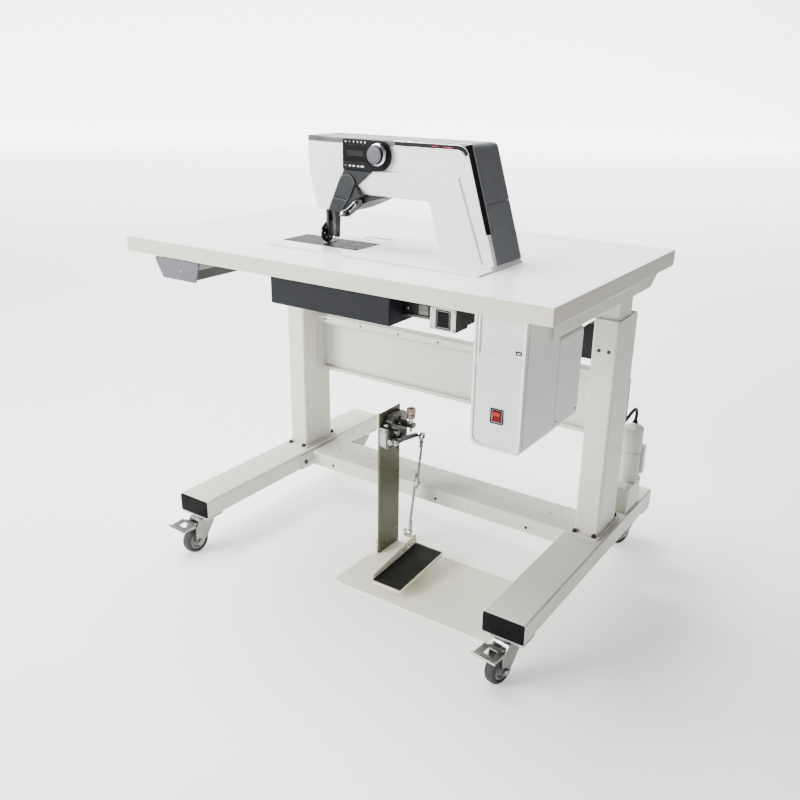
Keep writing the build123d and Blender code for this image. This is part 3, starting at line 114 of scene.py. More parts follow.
def add_backdrop(name, rows, colour, glow):
    """A plain pale sheet behind or below the object, faintly lit from within so that it stays white."""
    made = bmesh.new()
    lines = [[made.verts.new((x, y, z)) for x in (-SHEET_HALF_WIDTH, SHEET_HALF_WIDTH)] for y, z in rows]
    for low, high in zip(lines, lines[1:]):
        made.faces.new((low[0], low[1], high[1], high[0]))
    data = bpy.data.meshes.new(name)
    made.to_mesh(data)
    made.free()
    sheet = bpy.data.objects.new(name, data)
    sheet.rotation_euler.z = AZIMUTH
    bpy.context.scene.collection.objects.link(sheet)
    paper = Surface(name, colour, 0.9)
    paper.grain(60, 0.02, 0.0004)
    paper.shader.inputs["Emission Color"].default_value = (1, 1, 0.995, 1)
    far = paper.node("ShaderNodeSeparateXYZ")
    paper.tree.links.new(paper.place, far.inputs[0])
    # the sheet dims beyond the object's right-hand side, so that little light bounces back from there
    across = paper.node("ShaderNodeVectorMath", operation="DOT_PRODUCT")
    across.inputs[1].default_value = (1, -0.47, 0)
    paper.tree.links.new(paper.place, across.inputs[0])
    lit = paper.spread(across.outputs["Value"], 1.0, 0.12, 1.1, 1.9)
    paper.paint(paper.mix(lit, srgb(*PAPER_DIM), paper.colour))
    strength = paper.node("ShaderNodeMath", operation="MULTIPLY")
    paper.tree.links.new(paper.spread(far.outputs[1], *glow, -0.6, 7.0), strength.inputs[0])
    paper.tree.links.new(lit, strength.inputs[1])
    paper.tree.links.new(strength.outputs[0], paper.shader.inputs["Emission Strength"])
    data.materials.append(paper.material)


def add_studio():
    world = bpy.data.worlds.new("studio")
    world.use_nodes = True
    tree = world.node_tree
    tree.nodes["Background"].inputs["Color"].default_value = (1, 1, 1, 1)
    direction = tree.nodes.new("ShaderNodeTexCoord")
    parts = tree.nodes.new("ShaderNodeSeparateXYZ")
    fade = tree.nodes.new("ShaderNodeMapRange")
    for key, number in WORLD_FADE:
        fade.inputs[key].default_value = number
    tree.links.new(direction.outputs["Generated"], parts.inputs[0])
    tree.links.new(parts.outputs[0], fade.inputs["Value"])
    tree.links.new(fade.outputs["Result"], tree.nodes["Background"].inputs["Strength"])
    bpy.context.scene.world = world
    add_light("key", **KEY)
    add_light("overhead", **OVERHEAD)
    add_backdrop("studio_floor", FLOOR_ROWS, PAPER, FLOOR_GLOW)
    add_backdrop("studio_wall", WALL_ROWS, WALL_PAPER, WALL_GLOW)


# ---------------------------------------------------------------- materials
class Surface:
    """A Principled material that is built up from procedural layers, in object coordinates."""

    def __init__(
        self, name, colour, rough, metal=0.0, coat=0.0, coat_rough=0.08, gloss=0.5, soft_edge=0.0008,
    ):
        self.material = bpy.data.materials.new(name)
        self.material.use_nodes = True
        self.tree = self.material.node_tree
        self.shader = self.tree.nodes["Principled BSDF"]
        self.colour = self.rgb(srgb(*colour))
        self.base = srgb(*colour)
        self.shader.inputs["Base Color"].default_value = self.base
        self.shader.inputs["Roughness"].default_value = rough
        self.shader.inputs["Metallic"].default_value = metal
        self.shader.inputs["Coat Weight"].default_value = coat
        self.shader.inputs["Coat Roughness"].default_value = coat_rough
        self.shader.inputs["Specular IOR Level"].default_value = gloss
        self.rough = rough
        self.place = self.node("ShaderNodeTexCoord").outputs["Object"]
        self.normal = None
        if soft_edge:
            bevel = self.node("ShaderNodeBevel")
            bevel.samples = 4
            bevel.inputs["Radius"].default_value = soft_edge
            self.normal = bevel.outputs["Normal"]
            self.tree.links.new(self.normal, self.shader.inputs["Normal"])
        self.material.diffuse_color = self.base

    def node(self, kind, **settings):
        made = self.tree.nodes.new(kind)
        for key, value in settings.items():
            setattr(made, key, value)
        return made

    def rgb(self, colour):
        made = self.node("ShaderNodeRGB")
        made.outputs[0].default_value = colour
        return made.outputs[0]

    def feed(self, target, value):
        """Plug a value, colour or output into a socket."""
        if hasattr(value, "is_output"):
            self.tree.links.new(value, target)
        else:
            target.default_value = value

    def noise(self, scale, detail=4.0, stretch=None):
        """Noise from 0 to 1; stretch scales the axes, so that it runs into lines."""
        made = self.node("ShaderNodeTexNoise")
        made.inputs["Scale"].default_value = scale
        made.inputs["Detail"].default_value = detail
        made.inputs["Roughness"].default_value = 0.55
        place = self.place
        if stretch:
            mapping = self.node("ShaderNodeMapping")
            mapping.inputs["Scale"].default_value = stretch
            self.tree.links.new(place, mapping.inputs["Vector"])
            place = mapping.outputs["Vector"]
        self.tree.links.new(place, made.inputs["Vector"])
        return made.outputs["Fac"]

    def cells(self, scale):
        made = self.node("ShaderNodeTexVoronoi", feature="F1")
        made.inputs["Scale"].default_value = scale
        self.tree.links.new(self.place, made.inputs["Vector"])
        return made.outputs["Distance"]

    def spread(self, value, low, high, start=0.3, end=0.7):
        """Map start..end of a value to low..high."""
        made = self.node("ShaderNodeMapRange")
        for key, number in (("From Min", start), ("From Max", end), ("To Min", low), ("To Max", high)):
            made.inputs[key].default_value = number
        self.tree.links.new(value, made.inputs["Value"])
        return made.outputs["Result"]

    def mix(self, share, first, second):
        made = self.node("ShaderNodeMix", data_type="RGBA")
        self.feed(made.inputs[0], share)
        self.feed(made.inputs[6], first)
        self.feed(made.inputs[7], second)
        return made.outputs[2]

    def paint(self, colour):
        """Use this colour output for the surface from here on."""
        self.colour = colour
        self.tree.links.new(colour, self.shader.inputs["Base Color"])

    def mottle(self, other, scale=6.0, low=0.0, high=0.5, detail=5.0, start=0.35, end=0.7):
        """Drift towards another colour in soft patches."""
        share = self.spread(self.noise(scale, detail), low, high, start, end)
        self.paint(self.mix(share, self.colour, srgb(*other)))

    def sheen_variation(self, amount=0.08, scale=9.0):
        """Roughness that wanders a little, as handled and wiped surfaces do."""
        low, high = max(self.rough - amount, 0.02), min(self.rough + amount, 1.0)
        self.tree.links.new(self.spread(self.noise(scale, 6.0), low, high), self.shader.inputs["Roughness"])

    def bump(self, height, strength, distance):
        made = self.node("ShaderNodeBump")
        made.inputs["Strength"].default_value = strength
        made.inputs["Distance"].default_value = distance
        self.tree.links.new(height, made.inputs["Height"])
        if self.normal is not None:
            self.tree.links.new(self.normal, made.inputs["Normal"])
        self.normal = made.outputs["Normal"]
        self.tree.links.new(self.normal, self.shader.inputs["Normal"])

    def grain(self, scale, strength, distance=0.0003, detail=3.0, stretch=None):
        self.bump(self.noise(scale, detail, stretch), strength, distance)

    def pits(self, scale, strength, distance=0.0003):
        self.bump(self.cells(scale), strength, distance)

    def upward(self, low, high):
        """0 to 1 as the surface turns from low to high in its own upward direction."""
        turned = self.node("ShaderNodeTexCoord").outputs["Normal"]
        parts = self.node("ShaderNodeSeparateXYZ")
        self.tree.links.new(turned, parts.inputs[0])
        return self.spread(parts.outputs[2], 0.0, 1.0, low, high)


def powder_coat(name, colour, dirt, rough=0.42, gloss=0.4):
    made = Surface(name, colour, rough, coat=gloss * 0.25, coat_rough=0.25, gloss=gloss)
    made.mottle(dirt, 2.2, 0.0, 0.22)
    made.mottle(dirt, 38, 0.0, 0.12)
    made.sheen_variation(0.07)
    made.grain(420, 0.16, 0.0003)
    made.grain(1500, 0.08, 0.0001)
    return made.material


def enamel(name, colour, dirt, rough=0.27, coat=0.35, gloss=0.5):
    made = Surface(name, colour, rough, coat=coat, coat_rough=0.06, gloss=gloss, soft_edge=0.0014)
    made.mottle(dirt, 3.0, 0.0, 0.16)
    made.sheen_variation(0.05)
    made.grain(260, 0.035, 0.0003)
    return made.material


def moulded(name, colour, other, rough=0.5, texture=900, depth=0.22, gloss=0.4):
    made = Surface(name, colour, rough, gloss=gloss)
    made.mottle(other, 14, 0.0, 0.45)
    made.sheen_variation(0.08, 22)
    made.pits(texture, depth, 0.0002)
    return made.material


def metal(name, colour, other, rough=0.3, stretch=(1, 1, 1), scale=320, depth=0.12, patch=40):
    made = Surface(name, colour, rough, metal=1.0, soft_edge=0.0006)
    made.mottle(other, patch, 0.0, 0.6)
    made.sheen_variation(0.1, 60)
    made.grain(scale, depth, 0.0002, 4.0, stretch)
    return made.material


def laminate(name):
    """White worktop with its ivory edge band."""
    made = Surface(name, (250, 250, 249), 0.34, coat=0.1, coat_rough=0.2, soft_edge=0.0018)
    made.mottle((240, 241, 240), 2.5, 0.0, 0.35)
    ivory = made.mix(
        made.spread(made.noise(30, 5.0, (1, 1, 14)), 0.0, 0.3), srgb(206, 203, 184),
        srgb(192, 189, 170),
    )
    made.paint(made.mix(made.upward(0.45, 0.8), ivory, made.colour))
    made.sheen_variation(0.05, 5)
    made.grain(700, 0.05, 0.0002)
    return made.material


def rubber(name, colour, other, rough=0.72, gloss=0.2):
    made = Surface(name, colour, rough, gloss=gloss)
    made.mottle(other, 26, 0.0, 0.6)
    made.grain(500, 0.3, 0.0003)
    made.sheen_variation(0.1, 30)
    return made.material


def lit_glass(name):
    """Dark display glass."""
    made = Surface(name, (5, 6, 5), 0.26, gloss=0.05)
    made.mottle((16, 18, 16), 30, 0.0, 0.5)
    made.sheen_variation(0.03, 20)
    return made.material


FRAME_PAINT = powder_coat("frame_paint", (214, 213, 203), (192, 190, 176))
FLOOR_PAINT = powder_coat("floor_plate_paint", (252, 250, 232), (234, 231, 208))
FORK_ZINC = metal("fork_zinc", (138, 140, 137), (104, 106, 102), 0.34, patch=70)
PANEL_PAINT = powder_coat("panel_paint", (214, 213, 206), (196, 194, 184))
OLIVE_PAINT = powder_coat("post_paint", (82, 83, 64), (64, 65, 48), gloss=0.2)
CREAM_PAINT = powder_coat("cream_paint", (226, 224, 206), (204, 201, 178))
CONTROL_PAINT = powder_coat("control_paint", (214, 215, 212), (198, 199, 196), 0.36)
CONTROL_RIM = enamel("control_rim", (232, 233, 231), (216, 217, 215))
CASE_PAINT = powder_coat("case_paint", (198, 196, 186), (172, 168, 152), 0.4)
MOTOR_PAINT = powder_coat("motor_paint", (198, 198, 190), (166, 165, 152), 0.4)
BLUE_PAINT = powder_coat("blue_grey_paint", (26, 28, 33), (18, 19, 23), 0.5, 0.1)
MACHINE_WHITE = enamel("machine_white", (240, 240, 236), (228, 227, 220))
BED_WHITE = enamel("bed_white", (233, 233, 229), (214, 213, 206), 0.3)
TOP_GREY = enamel("top_cover_paint", (78, 81, 81), (68, 71, 71), 0.34, 0.06, 0.25)
DARK_GREY = moulded("dark_grey_plastic", (100, 102, 107), (88, 90, 95), 0.42, 1100, 0.08, 0.35)
COVER_GREY = moulded("cover_plastic", (42, 44, 46), (34, 36, 38), 0.46, 1100, 0.08, 0.12)
PANEL_GREY = moulded("panel_plastic", (20, 21, 23), (15, 16, 17), 0.5, 1100, 0.08, 0.06)
BLACK = moulded("black_plastic", (12, 12, 13), (20, 20, 21), 0.55, gloss=0.2)
CAP_BLACK = moulded("cap_plastic", (8, 8, 10), (14, 14, 16), 0.6, 500, 0.3, 0.08)
DRAWER_GREY = moulded("drawer_plastic", (98, 97, 105), (86, 85, 94), 0.5, gloss=0.25)
# the drawer's faces behind its front: painted shade, darker because they lie in shadow under the table
DRAWER_PAINTED_SHADE = moulded("drawer_painted_shade", (84, 84, 84), (60, 60, 60), 0.5)
BLACK_GLOSS = enamel("black_gloss", (8, 8, 10), (18, 15, 17), 0.2, 0.03, 0.12)
RED = enamel("red_rocker", (92, 4, 11), (70, 3, 8), 0.4, 0.03, 0.12)
ZINC = metal("zinc_plate", (196, 198, 196), (160, 162, 158), 0.34, patch=70)
BOLT = metal("bolt_zinc", (72, 72, 70), (48, 48, 46), 0.3, patch=120)
STEEL = metal("ground_steel", (160, 160, 158), (118, 118, 115), 0.28, (1, 1, 24), 150, 0.1)
PLATE_STEEL = metal("plate_steel", (58, 59, 58), (44, 45, 44), 0.5, (2, 40, 2), 90, 0.14, 12)
GUN_METAL = metal("gun_metal", (92, 92, 88), (44, 44, 42), 0.38, patch=55)
DARK_STEEL = metal("dark_steel", (66, 66, 66), (30, 30, 30), 0.34, patch=60)
CHROME = metal("chrome", (226, 227, 228), (196, 198, 200), 0.08, scale=120, depth=0.02)
KNURL = metal("knurled_knob", (152, 134, 124), (92, 78, 70), 0.36, (1, 1, 30), 200, 0.3)
TYRE = rubber("tyre_rubber", (66, 68, 69), (50, 52, 53), gloss=0.1)
HUB = moulded("hub_plastic", (128, 132, 130), (104, 108, 106), 0.42, 700, 0.15)
MAT = rubber("treadle_rubber", (32, 32, 28), (20, 20, 18), 0.6)
LEAD = rubber("lead_sheath", (26, 26, 28), (40, 40, 42), 0.5)
LAMINATE = laminate("laminate")
DISPLAY = lit_glass("display_glass")
# darker copy of the switch box paint for its side faces: painted shade, as those faces lie in shadow
CASE_SIDE_PAINTED_SHADE = powder_coat("case_side_painted_shade", (34, 34, 28), (26, 26, 21), 0.5, 0.1)
ICON = moulded("icon_print", (206, 208, 206), (180, 182, 180), 0.5)
LCD = moulded("display_field", (44, 41, 41), (36, 34, 34), 0.5, gloss=0.04)
DIAL_GREY = moulded("dial_face_plastic", (84, 86, 92), (74, 76, 80), 0.38, 1300, 0.08, 0.2)
SEAM_GREY = moulded("seam_grey", (158, 158, 150), (142, 142, 134), 0.6)
EDGE_GREY = moulded("edge_grey", (84, 86, 89), (72, 74, 77), 0.4)
GROOVE = moulded("groove_grey", (118, 120, 118), (104, 106, 104), 0.6)
# red of the power rocker's lens; the same colour also makes the painted glints, reflections on the top
# cover's gloss strip
RED_LENS_AND_GLINT = enamel("red_lens_and_painted_glint", (158, 22, 40), (130, 16, 30), 0.3, 0.05, 0.2)
SHADOW = moulded("dark_gap", (16, 16, 17), (26, 26, 27), 0.8)


def dress(node, material, *others):
    """Give a CAD node its material; others are (material, test of a face's centre and normal) pairs."""
    thing = NODES[node]
    mesh = thing.data
    mesh.materials.clear()
    mesh.materials.append(material)
    for face in mesh.polygons:
        face.material_index = 0
    for number, (other, test) in enumerate(others, 1):
        mesh.materials.append(other)
        for face in mesh.polygons:
            if test(face.center, face.normal):
                face.material_index = number


CASTERS = ("front_left", "front_right", "rear_left", "rear_right")
for plain, names in (
    (FRAME_PAINT, "foot_beams crossbeam outer_columns inner_columns table_rails"),
    (PANEL_PAINT, "modesty_panel"),
    (OLIVE_PAINT, "pedal_post"),
    (FLOOR_PAINT, "floor_plate"),
    (CREAM_PAINT, "treadle"),
    (CAP_BLACK, "beam_end_caps"),
    (BLACK, "lift_control_box oil_pan"),
    (CAP_BLACK, "switch_rocker"),
    (BOLT, "frame_bolts"),
    (ZINC, "caster_plates control_spring lift_screw_left lift_screw_right drawer_runners"),
    (FORK_ZINC, " ".join(f"{corner}_fork" for corner in CASTERS)),
    (FORK_ZINC, "front_left_brake front_right_brake"),
    (MOTOR_PAINT, "lift_motor"),
    (GUN_METAL, "speed_control"),
    (DARK_STEEL, "control_lever take_up_lever hook presser_foot roller_foot"),
    (STEEL, "pitman_rods needle_bar"),
    (KNURL, "control_knob"),
    (BLUE_PAINT, "underbed_cover"),
    (CASE_PAINT, "switch_box"),
    (CONTROL_PAINT, "control_box control_box_front"),
    (RED, "power_rocker"),
    (MACHINE_WHITE, "arm_shell"),
    (TOP_GREY, "top_cover"),
    (DARK_GREY, "upper_end_cover lower_end_cover"),
    (COVER_GREY, "needle_cover"),
    (PANEL_GREY, "control_panel"),
    (PLATE_STEEL, "needle_plate"),
    (LAMINATE, "tabletop"),
    (MAT, "treadle_mat"),
    (LEAD, "lift_motor_lead"),
    (MOTOR_PAINT, "lift_gearbox"),
    (BED_WHITE, "bed head_hinges"),
):
    for node_name in names.split():
        dress(node_name, plain)

HUB_REACH = 0.029  # face centres nearer than this to the wheel's middle belong to the hub
DRAWER_FRONT, STRIP_FRONT = -0.4299, -0.2309
SIDEWAYS = 0.7  # share of a normal along X above which a face counts as a side
DIAL_RING_FRONT, DIAL_RING_BACK = -0.2712, -0.2624
for corner in CASTERS:
    low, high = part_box(f"{corner}_wheel")
    middle = (low + high) / 2
    dress(f"{corner}_wheel", TYRE, (HUB, lambda c, n, m=middle: (c - m).length < HUB_REACH))
# the drawer's front keeps its own lilac grey; all its other faces take painted shade
dress("drawer", DRAWER_PAINTED_SHADE, (DRAWER_GREY, lambda c, n: c.y < DRAWER_FRONT))
dress("edge_trim", CHROME, (BLACK_GLOSS, lambda c, n: c.y < STRIP_FRONT))
# the switch box's side faces take painted shade; its front and top keep the plain paint
dress("switch_box", CASE_PAINT, (CASE_SIDE_PAINTED_SHADE, lambda c, n: abs(n.x) > SIDEWAYS))
dress("dial", PANEL_GREY, (CHROME, lambda c, n: DIAL_RING_FRONT < c.y < DIAL_RING_BACK))


# ---------------------------------------------------------------- detail pieces, in millimetres
PLANES = {"XY": (0, 1, 2), "XZ": (0, 2, 1), "YZ": (1, 2, 0)}


def fit(name, made, node, material, edge=0.4):
    """Turn a bmesh into a piece that rides with a CAD node's body, in the given material."""
    bmesh.ops.recalc_face_normals(made, faces=made.faces)
    mesh = bpy.data.meshes.new(name)
    made.to_mesh(mesh)
    made.free()
    mesh.materials.append(material)
    thing = bpy.data.objects.new(name, mesh)
    bpy.context.scene.collection.objects.link(thing)
    if edge:
        soften = thing.modifiers.new("edge", "BEVEL")
        soften.width = edge * MM
        soften.segments = 2
        soften.limit_method = "ANGLE"
        soften.angle_limit = math.radians(35)
    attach(thing, BODY_OF[node])
    return thing


def lifted(plane, a, b, level):
    """The point (a, b) of a plane at a level above its third axis, in metres."""
    place = [0.0, 0.0, 0.0]
    for axis, value in zip(PLANES[plane], (a, b, level)):
        place[axis] = value * MM
    return place


def extrude(made, face, plane, depth):
    grown = bmesh.ops.extrude_face_region(made, geom=[face])
    bmesh.ops.translate(
        made, vec=lifted(plane, 0, 0, depth),
        verts=[part for part in grown["geom"] if isinstance(part, bmesh.types.BMVert)],
    )


def slabs(name, node, material, plane, outlines, level, depth, edge=0.3):
    """Outlines on a plane at a level, thickened by depth, all as one piece."""
    made = bmesh.new()
    for outline in outlines:
        face = made.faces.new([made.verts.new(lifted(plane, a, b, level)) for a, b in outline])
        extrude(made, face, plane, depth)
    return fit(name, made, node, material, edge)


def slab(name, node, material, plane, outline, level, depth, edge=0.4):
    """One outline on a plane at a level, thickened by depth."""
    return slabs(name, node, material, plane, [outline], level, depth, edge)


def on_circle(a, b, radius, angle):
    return a + radius * math.cos(angle), b + radius * math.sin(angle)


def rounded(a0, a1, b0, b1, radius=1.0, steps=4):
    """Outline of a rectangle with rounded corners."""
    points = []
    for a, b, start in ((a1 - radius, b1 - radius, 0), (a0 + radius, b1 - radius, 90),
                        (a0 + radius, b0 + radius, 180), (a1 - radius, b0 + radius, 270)):
        for step in range(steps + 1):
            points.append(on_circle(a, b, radius, math.radians(start + 90 * step / steps)))
    return points


def disc(a, b, radius, sides=24, turn=0.0):
    return [on_circle(a, b, radius, turn + 2 * math.pi * k / sides) for k in range(sides)]


def band(name, node, material, plane, path, width, level, depth, closed=False, edge=0.2):
    """A ribbon of one width that follows a path on a plane, raised by depth."""
    count = len(path)
    inner, outer = [], []
    for k, point in enumerate(path):
        here = Vector(point)
        before = Vector(path[k - 1]) if k or closed else None
        after = Vector(path[(k + 1) % count]) if k < count - 1 or closed else None
        ways = [(here - before).normalized()] if before is not None else []
        if after is not None:
            ways.append((after - here).normalized())
        normals = [Vector((-way.y, way.x)) for way in ways]
        middle = sum(normals, Vector((0, 0))).normalized()
        reach = width / 2 / max(middle.dot(normals[0]), 0.35)
        inner.append(here - middle * reach)
        outer.append(here + middle * reach)
    made = bmesh.new()
    low_in = [made.verts.new(lifted(plane, p.x, p.y, level)) for p in inner]
    low_out = [made.verts.new(lifted(plane, p.x, p.y, level)) for p in outer]
    top_in = [made.verts.new(lifted(plane, p.x, p.y, level + depth)) for p in inner]
    top_out = [made.verts.new(lifted(plane, p.x, p.y, level + depth)) for p in outer]
    for k in range(count if closed else count - 1):
        n = (k + 1) % count
        made.faces.new((low_in[k], low_in[n], low_out[n], low_out[k]))
        made.faces.new((top_in[k], top_out[k], top_out[n], top_in[n]))
        made.faces.new((low_in[k], top_in[k], top_in[n], low_in[n]))
        made.faces.new((low_out[k], low_out[n], top_out[n], top_out[k]))
    if not closed:
        for k in (0, count - 1):
            made.faces.new((low_in[k], low_out[k], top_out[k], top_in[k]))
    return fit(name, made, node, material, edge)


def revolve(made, profile, foot, axis, sides):
    """Add a closed turned body to a bmesh: (radius, height) pairs about an axis from its foot."""
    turn = Vector((0, 0, 1)).rotation_difference(Vector(axis)).to_matrix()
    rings = []
    for radius, height in profile:
        ring = []
        for k in range(sides):
            angle = 2 * math.pi * k / sides
            spot = turn @ Vector((radius * math.cos(angle), radius * math.sin(angle), height))
            ring.append(made.verts.new((spot + Vector(foot)) * MM))
        rings.append(ring)
    for low, high in zip(rings, rings[1:]):
        for k in range(sides):
            made.faces.new((low[k], low[(k + 1) % sides], high[(k + 1) % sides], high[k]))
    made.faces.new(rings[0])
    made.faces.new(rings[-1])


def turned(name, node, material, profile, foot, axis, sides=28, edge=0.0):
    """A turned piece with smooth sides."""
    made = bmesh.new()
    revolve(made, profile, foot, axis, sides)
    thing = fit(name, made, node, material, edge)
    for face in thing.data.polygons:
        face.use_smooth = len(face.vertices) == 4
    return thing


def screws(name, node, material, places, axis, radius=3.0, height=1.4, sides=20):
    """Domed screw heads with a round recess, all as one piece; places are their feet."""
    made = bmesh.new()
    dome = ((1, 0), (1, 0.45), (0.82, 0.8), (0.45, 1), (0.4, 0.55))
    for place in places:
        revolve(made, [(radius * across, height * up) for across, up in dome], place, axis, sides)
    return fit(name, made, node, material, 0.0)


def wire(name, node, material, points, radius):
    """A round bar or wire through smooth points."""
    data = bpy.data.curves.new(name, "CURVE")
    data.dimensions = "3D"
    data.bevel_depth = radius * MM
    data.bevel_resolution = 4
    data.use_fill_caps = True
    line = data.splines.new("BEZIER")
    line.bezier_points.add(len(points) - 1)
    for knot, point in zip(line.bezier_points, points):
        knot.co = Vector(point) * MM
        knot.handle_left_type = knot.handle_right_type = "AUTO"
    data.materials.append(material)
    thing = bpy.data.objects.new(name, data)
    bpy.context.scene.collection.objects.link(thing)
    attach(thing, BODY_OF[node])
    return thing


# where the details sit: Y of front and rear faces, Z of the bed, X of side faces; middles of dial and motor
PANEL_Y, COVER_Y, TOP_Y, BED_Z = -261, -261, -249.2, 934
STEP_Y, BOX_SIDE_X = -413.9, 533.8
SWITCH_BOX_Y, PAN_Y = -399.8, -345.6
MODESTY_Y, COLUMN_BACK_Y = 150.4, 212.8
POST_X = -52.7
DIAL_X, DIAL_Z = 62, 1157
MOTOR_X = 526
FRONTWARD, LEFTWARD, RIGHTWARD, UPWARD = (0, -1, 0), (-1, 0, 0), (1, 0, 0), (0, 0, 1)


def detail_head():
    """Display, printed icons, seams, plate edges and thread guides of the machine head."""
    slab(
        "display_window", "control_panel", DISPLAY, "XZ", rounded(-36.5, 35.5, 1137.5, 1174.5, 1.5),
        PANEL_Y, -0.5, 0.2,
    )
    field = rounded(-26, 21, 1150, 1162.5, 0.6)
    slab("display_field", "control_panel", LCD, "XZ", field, PANEL_Y - 0.5, -0.25, 0.1)
    upper = [rounded(x, x + 4.2, 1179.6, 1183.2, 1.0) for x in (-31, 13, 24)]
    upper += [disc(x, 1181.4, 2.1, 3 + k * 3, 0.5) for k, x in enumerate((-18, -6, 5))]
    slabs("icons_upper", "control_panel", ICON, "XZ", upper, PANEL_Y - 1, -0.3, 0.08)
    lower = [rounded(x, x + w, 1126.2, 1130, 1.2) for x, w in ((-20, 6), (-9.5, 7), (3.5, 6), (14, 9))]
    lower.append(disc(-29.5, 1128.2, 2.1, 3, 1.57))
    slabs("icons_lower", "control_panel", ICON, "XZ", lower, PANEL_Y - 1, -0.3, 0.08)
    band(
        "display_frame", "control_panel", BLACK_GLOSS, "XZ", rounded(-37, 36, 1137, 1175, 1.6), 0.9,
        PANEL_Y - 0.6, -0.6, True,
    )
    # the dial: a skirt on the panel, a shallow dish for its face and a bright ring
    skirt = ((33, 0), (33, 0.5), (30.5, 1.6), (26.5, 1.6), (26.5, 0))
    dish = ((19.6, 0), (19.6, 0.6), (18.6, 1.0), (8, 0.5), (0.5, 0.4))
    ring = ((22.4, 0), (23.4, 0.6), (23.4, 4.4), (22.4, 5.0), (21.9, 5.0))
    turned("dial_skirt", "control_panel", PANEL_GREY, skirt, (57, PANEL_Y - 0.4, 1153), FRONTWARD, 64)
    turned("dial_face", "dial", DIAL_GREY, dish, (DIAL_X, -276.8, DIAL_Z), FRONTWARD, 64)
    turned("dial_ring", "dial", CHROME, ring, (DIAL_X, -267.5, DIAL_Z), FRONTWARD, 64)
    # gloss strip with bright edges along the front of the top cover, turning down into the column's strip
    strip = [(100, 1182), (262, 1182), (271, 1180.5), (279, 1176), (285, 1168)]
    band("top_gloss", "top_cover", BLACK_GLOSS, "XZ", strip, 8.4, TOP_Y - 0.2, -1.0, edge=0.3)
    above = [(96, 1187.4), (262, 1187.2), (273, 1185.4), (283, 1180), (290, 1171)]
    below = [(96, 1177), (260, 1177), (268, 1175.6), (275, 1171.5), (280, 1164)]
    band("top_bright", "top_cover", CHROME, "XZ", above, 1.4, TOP_Y, -1.5)
    band("low_bright", "top_cover", CHROME, "XZ", below, 1.2, TOP_Y, -1.5)
    # painted glints: two small red patches on the gloss strip stand in for reflections
    painted_glints = [rounded(x - w, x + w, z - 1.1, z + 1.1, 1) for x, z, w in ((205, 1182, 9), (238, 1181, 12))]
    slabs("gloss_glints", "top_cover", RED_LENS_AND_GLINT, "XZ", painted_glints, TOP_Y - 1.1, -0.15, 0.05)
    # seams across the grey top cover and the small screws at its left end
    for number, (x0, x1) in enumerate(((66, 92), (196, 214))):
        seam = ((x0, -249), (x1, -121))
        band(f"cover_seam_{number}", "top_cover", SEAM_GREY, "XY", seam, 0.9, 1187.6, 0.5)
    screws(
        "cover_screws", "top_cover", DARK_STEEL, ((-153, -249.6, 1182), (-120, -249.6, 1182)),
        FRONTWARD, 1.6, 0.6,
    )
    # needle cover: edge of the arched plate, its steps, a plain badge plate
    arch = [(-47, 1095)]
    for degrees in range(150, 0, -15):
        angle = math.radians(degrees)
        arch.append((-27 + 21 * math.cos(angle), 1088 + 19 * math.sin(angle)))
    arch.append((-6, 1086))
    band("arch_edge", "needle_cover", EDGE_GREY, "XZ", arch, 1.2, COVER_Y, -0.6)
    band("plate_step", "needle_cover", SHADOW, "XZ", ((-64, 1054.5), (-26, 1050.5)), 0.8, COVER_Y - 0.2, -0.5)
    low_step = ((-66, 1050.5), (-28, 1047))
    band("plate_step_low", "needle_cover", EDGE_GREY, "XZ", low_step, 0.9, COVER_Y - 0.2, -0.6)
    band("plate_side", "needle_cover", EDGE_GREY, "XZ", ((-22, 1056), (-46, 1023)), 1.0, COVER_Y, -0.6)
    slab(
        "badge_plate", "needle_cover", COVER_GREY, "XZ",
        ((-70, 1040), (-46, 1037), (-54, 1026), (-76, 1026)), COVER_Y - 0.4, -0.7, 0.25,
    )
    screws(
        "cover_fastener", "needle_cover", DARK_STEEL, ((-24, -260.6, 1097), (20, -257, 1108)),
        FRONTWARD, 2.2, 1.0,
    )
    guide = ((-46, -258, 1022), (-34, -259, 1026), (-22, -259, 1034), (-14, -258, 1042), (-8, -257, 1047))
    hook = ((-14, -257, 1049), (-8, -261, 1047), (-3, -261, 1042), (-6, -259, 1036), (-12, -258, 1035))
    wire("thread_guide", "needle_cover", CHROME, guide, 1.2)
    wire("thread_hook", "needle_cover", CHROME, hook, 0.9)
    turned(
        "lever_screw", "take_up_lever", DARK_STEEL, ((4.6, 0), (4.6, 2.2), (3.9, 3.0), (0.6, 3.2)),
        (-38, -255, 1015), FRONTWARD,
    )
    rim = [(x, -250.2, z) for x, z in ((-58, 1010.6), (-34, 1017.4), (-20, 1027.5), (-8, 1037.6))]
    wire("lever_edge", "take_up_lever", CHROME, rim, 0.7)
    # presser foot: side plate, screws and the needle clamp
    slab(
        "foot_side_plate", "presser_foot", DARK_STEEL, "YZ", rounded(-226, -213.5, 988, 1034, 2.5),
        -116, -1.6, 0.4,
    )
    screws(
        "foot_screws", "presser_foot", STEEL, ((-117.6, -220, 998), (-117.6, -220, 1024)), LEFTWARD,
        2.6, 1.4,
    )
    turned(
        "roller_nut", "presser_foot", DARK_STEEL, ((6.4, 0), (6.4, 2.4), (5.4, 3.2), (1.5, 3.4)),
        (-129, -218, 959.5), LEFTWARD, 6,
    )
    turned(
        "needle_screw", "needle_bar", DARK_STEEL, ((2.6, 0), (2.6, 4.4), (2.1, 5.0), (0.6, 5.0)),
        (-106, -210.4, 993), FRONTWARD,
    )
